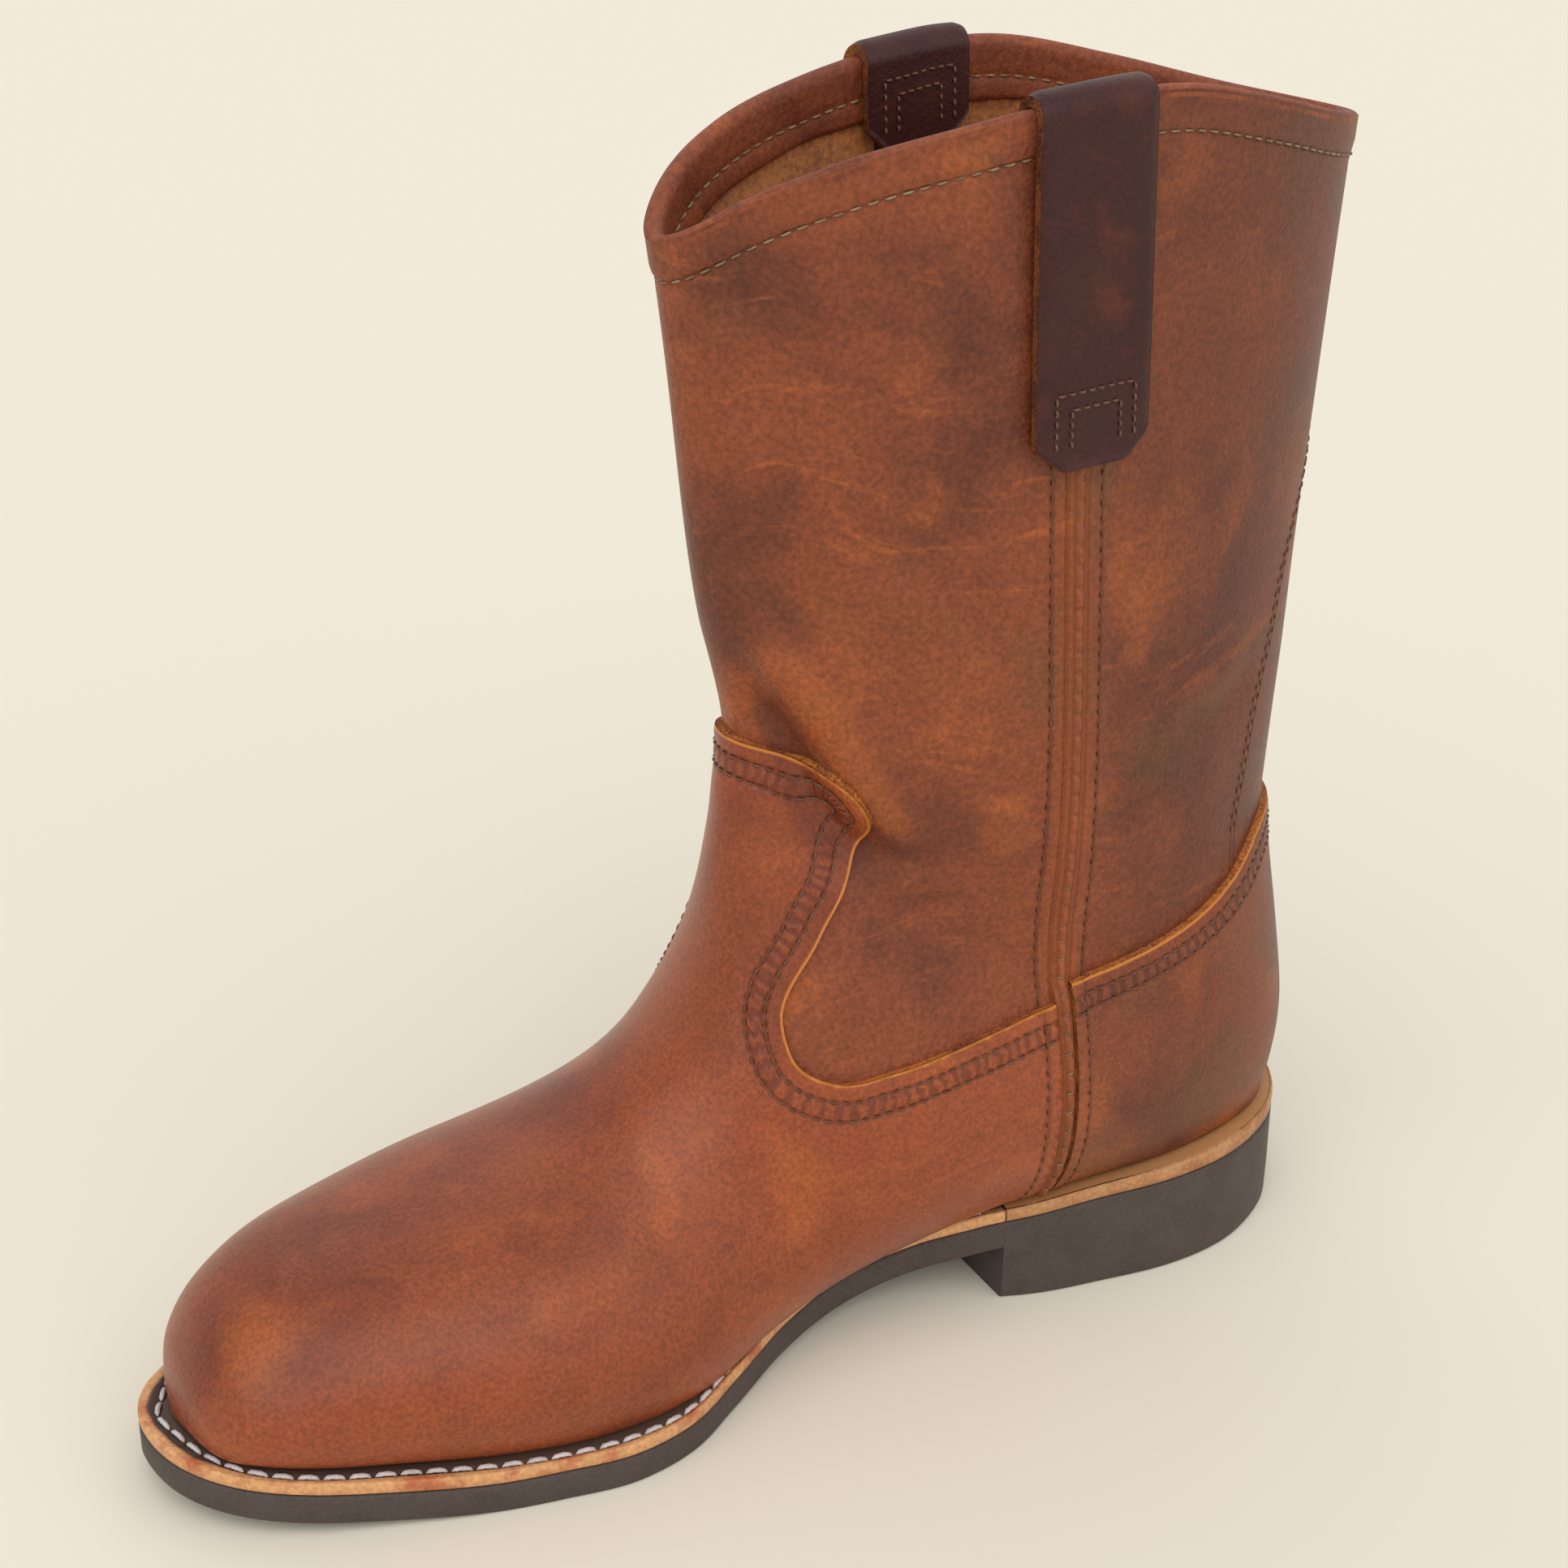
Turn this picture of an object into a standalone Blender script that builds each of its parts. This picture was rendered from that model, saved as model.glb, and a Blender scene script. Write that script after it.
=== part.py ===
"""A right western work boot, pulled on by two straps, as an assembly of separate solids.

Metres. The boot stands on z = 0 with its toe towards +X and its inner side towards +Y.
The origin is on the floor under the middle of the heel tread.
"""

import math
from functools import lru_cache

import bmesh
import bpy
import numpy as np
from mathutils import Vector

# Last and shaft
SOLE_LENGTH = 0.306
BALL_WIDTH = 0.105
INSTEP_HEIGHT = 0.078
COLLAR_HEIGHT = 0.254
COLLAR_RISE = 0.0213

# Sole
OUTSOLE_THICKNESS = 0.0075
HEEL_HEIGHT = 0.0249
HEEL_LENGTH = 0.100
HEEL_FLARE = 0.003
TOE_SPRING = 0.0065
WELT_THICKNESS = 0.0033
RAND_THICKNESS = 0.005
WELT_WIDTH = 0.015
INSOLE_THICKNESS = 0.003
INSOLE_CLEARANCE = 0.0015

# Leather
WALL = 0.002
OVERLAY = 0.0018
SEAM_WIDTH = 0.0044
SEAM_HEIGHT = 0.0026
STRAP_WIDTH = 0.027
STRAP_THICKNESS = 0.002
STRAP_OUTER_LEG = 0.072
STRAP_INNER_LEG = 0.021
STRAP_LOOP = 0.0025
STRAP_CLIP = 0.006
STRAP_LEAN = 0.055
FACING_DEPTH = 0.013
FACING_THICKNESS = 0.001
GAP = 0.0003

# Places along the sole, as shares of its length from the heel's back edge
ORIGIN_AT = 0.163
STRAP_AT = 0.330

# Steps of the meshes
EDGE_STEPS = 52
CROWN_STEPS = 8
SIDE_STEPS = 6
SHAFT_STEPS = 13

# Height over the feather edge in which the wall's thickness comes level
LEVEL_HEIGHT = 0.006

# Sole edge: place along the sole, reach to the inner and the outer side in ball widths
SOLE_EDGE_COLUMNS = ("along", "inner", "outer")
SOLE_EDGE = (
    (0.060, 0.281, 0.271),
    (0.120, 0.347, 0.333),
    (0.180, 0.359, 0.355),
    (0.240, 0.344, 0.364),
    (0.300, 0.325, 0.375),
    (0.350, 0.286, 0.389),
    (0.400, 0.240, 0.410),
    (0.460, 0.226, 0.434),
    (0.520, 0.272, 0.470),
    (0.580, 0.365, 0.505),
    (0.630, 0.447, 0.523),
    (0.680, 0.479, 0.524),
    (0.740, 0.457, 0.499),
    (0.800, 0.419, 0.452),
    (0.860, 0.366, 0.390),
    (0.910, 0.316, 0.314),
    (0.950, 0.253, 0.219),
    (0.985, 0.149, 0.124),
)
TOE_TIP = -0.010

# Sole profile: place along the sole, share of the heel's rise, share of the toe spring
PROFILE_COLUMNS = ("along", "heel", "toe")
PROFILE = (
    (0.000, 1.000, 0.00),
    (0.160, 0.940, 0.00),
    (0.300, 0.895, 0.00),
    (0.340, 0.830, 0.00),
    (0.380, 0.690, 0.00),
    (0.420, 0.535, 0.00),
    (0.460, 0.378, 0.00),
    (0.500, 0.245, 0.00),
    (0.535, 0.140, 0.00),
    (0.575, 0.045, 0.00),
    (0.615, 0.000, 0.00),
    (0.780, 0.000, 0.00),
    (0.850, 0.000, 0.22),
    (0.905, 0.000, 0.46),
    (0.955, 0.000, 0.70),
    (1.000, 0.000, 1.00),
)

# Sections of the upper, from the toe to the collar. Each lies in a plane across the boot and runs from
# its top on the front line to its end, on the feather edge in the foot and on the back line in the
# shaft. Places are shares of the sole's length. Heights over the seat go from 0 at the feather edge
# through 1 at the instep to 2 at the collar. Widths are in ball widths.
SECTION_COLUMNS = ("top", "top_height", "end", "end_height", "inner", "outer", "inner_foot", "outer_foot")
SECTIONS = (
    (0.971, 0.000, 0.971, 0.000, 0.000, 0.000, 0.000, 0.000),
    (0.969, 0.082, 0.954, 0.000, 0.162, 0.133, 0.129, 0.095),
    (0.961, 0.177, 0.928, 0.000, 0.233, 0.224, 0.210, 0.190),
    (0.938, 0.296, 0.889, 0.000, 0.290, 0.290, 0.265, 0.270),
    (0.895, 0.403, 0.837, 0.000, 0.343, 0.357, 0.308, 0.333),
    (0.840, 0.464, 0.778, 0.000, 0.390, 0.414, 0.362, 0.393),
    (0.771, 0.527, 0.703, 0.000, 0.438, 0.462, 0.410, 0.437),
    (0.696, 0.591, 0.621, 0.000, 0.424, 0.462, 0.386, 0.440),
    (0.634, 0.686, 0.539, 0.000, 0.357, 0.438, 0.276, 0.404),
    (0.592, 0.818, 0.458, 0.000, 0.333, 0.410, 0.223, 0.361),
    (0.565, 0.992, 0.369, 0.000, 0.362, 0.400, 0.239, 0.326),
    (0.549, 1.072, 0.268, 0.000, 0.367, 0.386, 0.272, 0.305),
    (0.541, 1.144, 0.163, 0.000, 0.364, 0.364, 0.292, 0.295),
    (0.536, 1.211, 0.072, 0.000, 0.345, 0.350, 0.236, 0.238),
    (0.534, 1.245, 0.031, 0.000, 0.336, 0.342, 0.128, 0.128),
    (0.533, 1.273, 0.017, 0.000, 0.331, 0.338, 0.000, 0.000),
    (0.530, 1.330, 0.008, 0.251, 0.338, 0.345, 0.000, 0.000),
    (0.533, 1.387, 0.021, 0.572, 0.348, 0.353, 0.000, 0.000),
    (0.542, 1.457, 0.041, 0.958, 0.352, 0.357, 0.000, 0.000),
    (0.552, 1.528, 0.039, 1.123, 0.352, 0.357, 0.000, 0.000),
    (0.560, 1.609, 0.034, 1.265, 0.350, 0.357, 0.000, 0.000),
    (0.567, 1.701, 0.031, 1.419, 0.346, 0.354, 0.000, 0.000),
    (0.575, 1.816, 0.026, 1.589, 0.342, 0.350, 0.000, 0.000),
    (0.583, 1.919, 0.021, 1.777, 0.340, 0.348, 0.000, 0.000),
    (0.590, 2.000, 0.015, 1.969, 0.340, 0.348, 0.000, 0.000),
)
CLOSED_SECTION = 15
LAST_SECTION = len(SECTIONS) - 1

# Form of the sections, by section number: where the widest place lies between top and end, powers of the
# crown above it and of the side and the heel's roundness below it, and how far the front line is off
# the middle, in ball widths
FORM_COLUMNS = ("section", "widest", "crown", "side", "round", "ridge")
FORM = (
    (0, 0.72, 2.30, 2.20, 2.00, 0.005),
    (4, 0.72, 2.30, 2.20, 2.00, -0.005),
    (7, 0.70, 2.20, 2.20, 2.00, 0.018),
    (10, 0.66, 2.10, 2.15, 2.00, 0.026),
    (13, 0.66, 2.00, 2.10, 2.30, 0.018),
    (15, 0.65, 1.90, 2.05, 2.40, 0.013),
    (17, 0.57, 1.84, 1.95, 2.30, 0.011),
    (20, 0.52, 1.80, 1.85, 2.00, 0.010),
    (24, 0.50, 1.78, 1.70, 2.00, 0.009),
)

# Collar: place from the front line to the back line, share of the collar's rise there
COLLAR_COLUMNS = ("along", "rise")
COLLAR = (
    (0.00, 0.00),
    (0.07, 0.38),
    (0.16, 0.66),
    (0.30, 0.88),
    (0.45, 1.00),
    (0.60, 0.96),
    (0.75, 0.63),
    (0.90, 0.23),
    (1.00, 0.00),
)
RISE_FROM_SECTION = 18

# Seam up both sides: height as in the sections, place along the sole
SEAM_COLUMNS = ("height", "along")
SEAM_LINE = (
    (-0.50, 0.297),
    (0.80, 0.297),
    (1.10, 0.303),
    (1.65, 0.322),
)

# Edge of the vamp from the seam to the front, and of the counter from the seam to the back:
# place along the sole, height as in the sections
VAMP_EDGE_COLUMNS = ("along", "height")
VAMP_EDGE = (
    (0.297, 0.750),
    (0.380, 0.750),
    (0.448, 0.769),
    (0.493, 0.800),
    (0.519, 0.880),
    (0.525, 0.985),
    (0.492, 1.101),
    (0.464, 1.172),
    (0.457, 1.225),
    (0.473, 1.288),
    (0.505, 1.337),
    (0.560, 1.375),
)
COUNTER_EDGE_COLUMNS = ("along", "height")
COUNTER_EDGE = (
    (0.297, 0.790),
    (0.242, 0.825),
    (0.189, 0.889),
    (0.130, 0.985),
    (0.090, 1.030),
    (0.000, 1.035),
)

# Finishes: sRGB colour, roughness
LEATHER = ((0.54, 0.29, 0.16), 0.45)
LEATHER_DARK = ((0.46, 0.24, 0.14), 0.42)
STRAP_LEATHER = ((0.29, 0.17, 0.15), 0.55)
FACING_LEATHER = ((0.45, 0.27, 0.15), 0.60)
WELT_LEATHER = ((0.84, 0.62, 0.40), 0.65)
RAND_LEATHER = ((0.69, 0.48, 0.30), 0.65)
INSOLE_LEATHER = ((0.66, 0.45, 0.22), 0.80)
RUBBER = ((0.34, 0.29, 0.27), 0.75)


def columns(names, rows):
    """A table's columns by name."""
    return dict(zip(names, np.array(rows, float).T))


def smooth(knots, values, at):
    """A value between the rows of a table, on a smooth curve through all of them."""
    slopes = np.gradient(values, knots)
    i = int(np.clip(np.searchsorted(knots, at) - 1, 0, len(knots) - 2))
    span = knots[i + 1] - knots[i]
    t = min(max((at - knots[i]) / span, 0.0), 1.0)
    start = (1 + 2 * t) * (1 - t) ** 2 * values[i] + t * (1 - t) ** 2 * span * slopes[i]
    end = t * t * (3 - 2 * t) * values[i + 1] + t * t * (t - 1) * span * slopes[i + 1]
    return float(start + end)


def linear(srgb):
    """Linear colour of an sRGB one."""
    return [c / 12.92 if c <= 0.04045 else ((c + 0.055) / 1.055) ** 2.4 for c in srgb]


def material(name, finish):
    """A plain material with the piece's colour and roughness."""
    colour, roughness = finish
    made = bpy.data.materials.new(name)
    made.use_nodes = True
    shader = made.node_tree.nodes["Principled BSDF"]
    shader.inputs["Base Color"].default_value = (*linear(colour), 1.0)
    shader.inputs["Roughness"].default_value = roughness
    shader.inputs["Metallic"].default_value = 0.0
    return made


def add_object(name, mesh_data, finish):
    """A closed body from a bmesh, with its faces pointing out."""
    bmesh.ops.recalc_face_normals(mesh_data, faces=mesh_data.faces)
    mesh = bpy.data.meshes.new(name)
    mesh_data.to_mesh(mesh)
    mesh_data.free()
    mesh.shade_smooth()
    mesh.set_sharp_from_angle(angle=math.radians(40))
    made = bpy.data.objects.new(name, mesh)
    bpy.context.scene.collection.objects.link(made)
    if finish:
        made.data.materials.append(material(name, finish))
    return made


def add_face(mesh_data, corners):
    """A face from its corners, where corners that coincide count once."""
    distinct = [v for i, v in enumerate(corners) if v is not corners[i - 1]]
    if len(distinct) > 2:
        mesh_data.faces.new(distinct)


# Sole heights and edge


def world_x(along):
    """World place of a share of the sole's length."""
    return (along - ORIGIN_AT) * SOLE_LENGTH


def along_of(x):
    """Share of the sole's length at a world place."""
    return x / SOLE_LENGTH + ORIGIN_AT


def outsole_top(x):
    """Height of the outsole's upper face."""
    table = columns(PROFILE_COLUMNS, PROFILE)
    heel = max(smooth(table["along"], table["heel"], along_of(x)), 0.0)
    toe = max(smooth(table["along"], table["toe"], along_of(x)), 0.0)
    return OUTSOLE_THICKNESS + heel * (HEEL_HEIGHT - OUTSOLE_THICKNESS) + toe * TOE_SPRING


def outsole_under(x):
    """Height of the outsole plate's lower face, flat on the floor at the ball."""
    return max(outsole_top(x) - OUTSOLE_THICKNESS, 0.0)


def welt_thickness(x):
    """Thickness of welt and rand: the rand grows from the heel's breast to its back."""
    back = 1 - min((x - world_x(0)) / HEEL_LENGTH, 1.0)
    return WELT_THICKNESS + (RAND_THICKNESS - WELT_THICKNESS) * back


def seat(x):
    """Height of the feather edge, where the upper stands on welt or rand."""
    return outsole_top(x) + GAP + welt_thickness(x) + GAP


@lru_cache(maxsize=None)
def sole_edge(turn, side):
    """Edge of the sole at a turn from 0 at the heel's back to 1 at the toe, side +1 inner or -1 outer."""
    table = columns(SOLE_EDGE_COLUMNS, SOLE_EDGE)
    turns = np.arccos(1 - 2 * np.concatenate(([0], table["along"], [1]))) / math.pi
    reach = table["inner"] if side > 0 else table["outer"]
    reach = np.concatenate(([0], reach, [side * TOE_TIP]))
    along = (1 - math.cos(math.pi * turn)) / 2
    return Vector((world_x(along), side * smooth(turns, reach, turn) * BALL_WIDTH))


def turn_at(along):
    """Turn of the sole's edge at a place along the sole."""
    return math.acos(1 - 2 * along) / math.pi


def edge_turns():
    """Turns at even steps along the edge, with one on the heel's breast."""
    fine = np.linspace(0, 1, 400)
    points = np.array([sole_edge(float(t), 1) for t in fine])
    run = np.concatenate(([0], np.cumsum(np.linalg.norm(np.diff(points, axis=0), axis=1))))
    turns = list(np.interp(np.linspace(0, run[-1], EDGE_STEPS + 1), run, fine))
    breast = turn_at(HEEL_LENGTH / SOLE_LENGTH)
    nearest = min(range(len(turns)), key=lambda i: abs(turns[i] - breast))
    turns[nearest] = breast
    return [float(t) for t in turns], nearest


def heel_flare(x):
    """How far the heel block's tread spreads beyond its top."""
    share = (x - world_x(0)) / HEEL_LENGTH
    return HEEL_FLARE * math.sin(math.pi * min(max(share, 0.0), 1.0))


def make_outsole():
    """Plate with toe spring and shank, and the heel block under its back part, in one body."""
    turns, breast = edge_turns()
    bm = bmesh.new()

    def line(side, height, spread=None):
        """Points along one side of the edge at the heights of a function."""
        made = []
        for turn in turns:
            point = sole_edge(turn, side)
            reach = point.y + (side * spread(point.x) if spread else 0)
            made.append(bm.verts.new((point.x, reach, height(point.x))))
        return made

    def pair(height, spread=None):
        """Both sides at one height, sharing the ends at heel and toe."""
        inner = line(1, height, spread)
        outer = line(-1, height, spread)
        for end in (0, -1):
            bm.verts.remove(outer[end])
            outer[end] = inner[end]
        return inner, outer

    top = pair(outsole_top)
    under = pair(outsole_under)
    tread = pair(lambda x: 0.0, heel_flare)
    for extra in (*tread[0][breast + 1:], *tread[1][breast + 1:-1]):
        bm.verts.remove(extra)
    for i in range(len(turns) - 1):
        add_face(bm, (top[0][i], top[0][i + 1], top[1][i + 1], top[1][i]))
        for side in (0, 1):
            add_face(bm, (top[side][i], top[side][i + 1], under[side][i + 1], under[side][i]))
            if i < breast:
                add_face(bm, (under[side][i], under[side][i + 1], tread[side][i + 1], tread[side][i]))
        low = tread if i < breast else under
        add_face(bm, (low[0][i], low[0][i + 1], low[1][i + 1], low[1][i]))
    add_face(bm, (under[0][breast], under[1][breast], tread[1][breast], tread[0][breast]))
    return add_object("outsole", bm, RUBBER)


def make_strip(name, stations, finish):
    """Flat strip on the outsole along its edge, butted square across at both ends."""
    bm = bmesh.new()
    rings = []
    edge = [sole_edge(turn, side) for turn, side in stations]
    for i, point in enumerate(edge):
        if i in (0, len(edge) - 1):
            inward = Vector((0, -stations[i][1]))
        else:
            run = (edge[i + 1] - edge[i - 1]).normalized()
            inward = Vector((run.y, -run.x))
            if inward.dot(Vector((0, 0)) - point) < 0 and abs(run.x) < 0.5:
                inward = -inward
            if abs(run.x) >= 0.5:
                inward = inward * (1 if inward.y * stations[i][1] < 0 else -1)
        inside = point + inward * WELT_WIDTH
        ring = []
        for place in (point, inside):
            low = outsole_top(place.x) + GAP
            ring.append(bm.verts.new((*place, low)))
            ring.append(bm.verts.new((*place, low + welt_thickness(place.x))))
        rings.append((ring[0], ring[1], ring[3], ring[2]))
    for a, b in zip(rings, rings[1:]):
        for k in range(4):
            add_face(bm, (a[k], b[k], b[k - 1], a[k - 1]))
    add_face(bm, rings[0])
    add_face(bm, rings[-1])
    return add_object(name, bm, finish)


def make_welt_and_rand():
    """Welt round the forepart and rand round the heel, meeting on the breast's line."""
    turns, breast = edge_turns()
    half = GAP / 2 / SOLE_LENGTH
    line = HEEL_LENGTH / SOLE_LENGTH
    front = [turn_at(line + half)] + turns[breast + 1:-1]
    back = turns[1:breast] + [turn_at(line - half)]
    round_toe = [(t, 1) for t in front] + [(1.0, 1)] + [(t, -1) for t in reversed(front)]
    round_heel = [(t, 1) for t in reversed(back)] + [(0.0, 1)] + [(t, -1) for t in back]
    make_strip("welt", round_toe, WELT_LEATHER)
    make_strip("heel_rand", round_heel, RAND_LEATHER)


# Upper


def height_over_seat(share):
    """Height over the seat: 0 at the feather edge, 1 at the instep, 2 at the collar."""
    if share <= 1:
        return share * INSTEP_HEIGHT
    return INSTEP_HEIGHT + (share - 1) * (COLLAR_HEIGHT - INSTEP_HEIGHT)


def height_at(along, share):
    """World height at a place along the sole, from a share as in the sections."""
    return seat(world_x(along)) + height_over_seat(share)


@lru_cache(maxsize=None)
def section(number):
    """A section's sizes at any number between the table's rows."""
    table = columns(SECTION_COLUMNS, SECTIONS)
    form = columns(FORM_COLUMNS, FORM)
    rows = np.arange(len(SECTIONS), dtype=float)
    size = {name: max(smooth(rows, values, number), 0.0) for name, values in table.items()}
    size.update({name: smooth(form["section"], form[name], number) for name in FORM_COLUMNS[1:]})
    if number < CLOSED_SECTION:
        size["end_height"] = 0.0
    else:
        size["inner_foot"] = size["outer_foot"] = 0.0
    lift = min(max((number - RISE_FROM_SECTION) / (LAST_SECTION - RISE_FROM_SECTION), 0.0), 1.0)
    size["lift"] = COLLAR_RISE * lift * (1.6 - 0.6 * lift) * lift ** 0.5
    size["top_point"] = (world_x(size["top"]), height_at(size["top"], size["top_height"]))
    size["end_point"] = (world_x(size["end"]), height_at(size["end"], size["end_height"]))
    return size


def spread(size, turn, side):
    """Place from top to end, and width there, at a turn from 0 on the front line to 1 at the end."""
    width = (size["inner"] if side > 0 else size["outer"]) * BALL_WIDTH
    foot = (size["inner_foot"] if side > 0 else size["outer_foot"]) * BALL_WIDTH
    widest = size["widest"]
    knee = CROWN_STEPS / (CROWN_STEPS + SIDE_STEPS)
    if turn <= knee:
        place = 1 - math.cos(turn / knee * math.pi / 2)
        full = max(1 - (1 - place) ** 2, 0.0) ** (1 / size["crown"])
        ridge = size["ridge"] * BALL_WIDTH
        return place * widest, ridge + (side * width - ridge) * full
    cut = max(1 - (foot / max(width, GAP)) ** size["side"], 0.0) ** (1 / size["round"])
    reach = math.sin((turn - knee) / (1 - knee) * math.asin(min(cut, 1.0)))
    share = reach / max(cut, 1e-6)
    full = max(1 - reach ** size["round"], 0.0) ** (1 / size["side"])
    return widest + (1 - widest) * share, side * width * full


def surface(number, turn):
    """A point of the upper's outer face, turn from -1 on the outer side to +1 on the inner side."""
    if number >= CLOSED_SECTION and abs(turn) > 1:
        turn -= math.copysign(2, turn)
    side = 1 if turn >= 0 else -1
    size = section(number)
    share, reach = spread(size, abs(turn), side)
    (top_x, top_z), (end_x, end_z) = size["top_point"], size["end_point"]
    collar = columns(COLLAR_COLUMNS, COLLAR)
    rise = size["lift"] * max(smooth(collar["along"], collar["rise"], share), 0.0)
    run = Vector((end_x - top_x, end_z - top_z))
    up = Vector((run.y, -run.x)).normalized() if run.length > GAP else Vector((0, 1))
    x = top_x + share * run.x + rise * up.x
    z = top_z + share * run.y + rise * up.y
    return Vector((x, reach, z))


def outward(number, turn):
    """Direction out of the shaft at a point of its face."""
    step, lean = 0.02, 0.01
    before = max(number - step, float(CLOSED_SECTION))
    after = min(number + step, float(LAST_SECTION))
    across = surface(number, turn + lean) - surface(number, turn - lean)
    along = surface(after, turn) - surface(before, turn)
    normal = across.cross(along)
    return normal.normalized()


def section_numbers(last):
    """Numbers of the mesh's sections, close together round the toe and the heel."""
    toe = np.arange(0, 3, 0.5)
    foot = np.linspace(3, CLOSED_SECTION - 2, 16)[:-1]
    heel = np.arange(CLOSED_SECTION - 2, CLOSED_SECTION, 0.5)
    shaft = np.linspace(CLOSED_SECTION, LAST_SECTION, SHAFT_STEPS + 1)
    return [float(n) for n in np.concatenate((toe, foot, heel, shaft)) if n <= last]


def mesh_turns():
    """Turns of the mesh's columns, from the outer end over the front line to the inner end."""
    count = CROWN_STEPS + SIDE_STEPS
    return [i / count for i in range(-count, count + 1)]


def add_wall(mesh_data, skin):
    """Faces between the rings of one skin, split the same way on both sides of the front line."""
    for low, high in zip(skin, skin[1:]):
        for j in range(len(low) - 1):
            if j < CROWN_STEPS + SIDE_STEPS:
                add_face(mesh_data, (low[j], high[j], high[j + 1]))
                add_face(mesh_data, (low[j], high[j + 1], low[j + 1]))
            else:
                add_face(mesh_data, (low[j], high[j], low[j + 1]))
                add_face(mesh_data, (high[j], high[j + 1], low[j + 1]))


def add_rings(mesh_data, numbers, place):
    """Rings of vertices over sections and turns, sharing one at the toe and one on the back line."""
    skin = []
    for number in numbers:
        ring = []
        for turn in mesh_turns():
            if ring and (number == 0 or (turn == 1 and number >= CLOSED_SECTION)):
                ring.append(ring[0])
            else:
                ring.append(mesh_data.verts.new(place(number, turn)))
        skin.append(ring)
    return skin


@lru_cache(maxsize=None)
def face_grid():
    """Points of the upper's outer face with their directions outward, level at the feather edge."""
    bm = bmesh.new()
    numbers = section_numbers(LAST_SECTION)
    skin = add_rings(bm, numbers, surface)
    add_wall(bm, skin)
    bm.normal_update()
    grid = {}
    for number, ring in zip(numbers, skin):
        for turn, vertex in zip(mesh_turns(), ring):
            out = -vertex.normal
            out.z *= min((vertex.co.z - seat(vertex.co.x)) / LEVEL_HEIGHT, 1.0)
            grid[number, turn] = (vertex.co.copy(), out.normalized())
    bm.free()
    return grid


def wall_point(number, turn, offset):
    """A point at a distance from the upper's outer face, on the seat along the feather edge."""
    face, out = face_grid()[number, turn]
    place = face + out * offset
    if number == 0 or (abs(turn) == 1 and number <= CLOSED_SECTION):
        place.z = seat(place.x)
    return place


def make_shell(name, last, inside, outside, finish):
    """A wall along the upper's face between two distances from it, open underneath and on top."""
    bm = bmesh.new()
    numbers = section_numbers(last)
    outer = add_rings(bm, numbers, lambda n, t: wall_point(n, t, outside))
    inner = add_rings(bm, numbers, lambda n, t: wall_point(n, t, inside))
    add_wall(bm, outer)
    add_wall(bm, inner)
    for i in range(len(numbers) - 1):
        if numbers[i] < CLOSED_SECTION:
            for j in (0, -1):
                add_face(bm, (outer[i][j], outer[i + 1][j], inner[i + 1][j], inner[i][j]))
    for j in range(len(mesh_turns()) - 1):
        add_face(bm, (outer[-1][j], outer[-1][j + 1], inner[-1][j + 1], inner[-1][j]))
    return add_object(name, bm, finish)


def make_upper():
    """The hollow wall of foot and shaft."""
    return make_shell("upper", LAST_SECTION, -WALL, 0.0, LEATHER)


def smooth_outline(points, steps):
    """More points on a smooth curve through an outline's points."""
    points = np.array(points, float)
    run = np.concatenate(([0], np.cumsum(np.linalg.norm(np.diff(points, axis=0), axis=1))))
    places = np.linspace(0, run[-1], steps * (len(points) - 1) + 1)
    return [(smooth(run, points[:, 0], s), smooth(run, points[:, 1], s)) for s in places]


def make_cutter(name, outline, low, high):
    """A guide body: a side outline drawn across the boot between two places."""
    bm = bmesh.new()
    rows = [[bm.verts.new((x, y, z)) for x, z in outline] for y in (low, high)]
    for a in range(len(outline)):
        b = (a + 1) % len(outline)
        bm.faces.new((rows[0][a], rows[0][b], rows[1][b], rows[1][a]))
    bm.faces.new(rows[0])
    bm.faces.new(rows[1])
    made = add_object(name, bm, None)
    made.hide_render = True
    made.display_type = "WIRE"
    return made


def keep_inside(piece, guide):
    """Keeps what a piece has inside a guide body."""
    cut = piece.modifiers.new("cut", "BOOLEAN")
    cut.operation = "INTERSECT"
    cut.solver = "EXACT"
    cut.object = guide


def seam_x(height):
    """World place of the side seam at a height as in the sections."""
    table = columns(SEAM_COLUMNS, SEAM_LINE)
    return world_x(smooth(table["height"], table["along"], height))


def seam_points(offset, low, high, count):
    """Side outline of the seam, moved along the boot by an offset."""
    made = []
    for height in np.linspace(low, high, count):
        x = seam_x(height) + offset
        made.append((x, height_at(along_of(x), height)))
    return made


def make_vamp():
    """Overlay over toe, ball and instep, with its tongue up the front."""
    table = columns(VAMP_EDGE_COLUMNS, VAMP_EDGE)
    shell = make_shell("vamp", 20.0, GAP, GAP + OVERLAY, LEATHER_DARK)
    edge = [(world_x(a), height_at(a, h)) for a, h in zip(table["along"], table["height"])]
    edge = smooth_outline(edge, 2)
    butt = SEAM_WIDTH / 2 + GAP
    foot = [(seam_x(-0.5) + butt, -HEEL_HEIGHT)]
    foot += [(x + butt, z) for x, z in seam_points(0, 0.0, VAMP_EDGE[0][1], 3)[:-1]]
    edge[0] = (edge[0][0] + butt, edge[0][1])
    front = [(world_x(1.2), edge[-1][1]), (world_x(1.2), -HEEL_HEIGHT)]
    guide = make_cutter("vamp_guide", foot + edge + front, -BALL_WIDTH, BALL_WIDTH)
    keep_inside(shell, guide)


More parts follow.
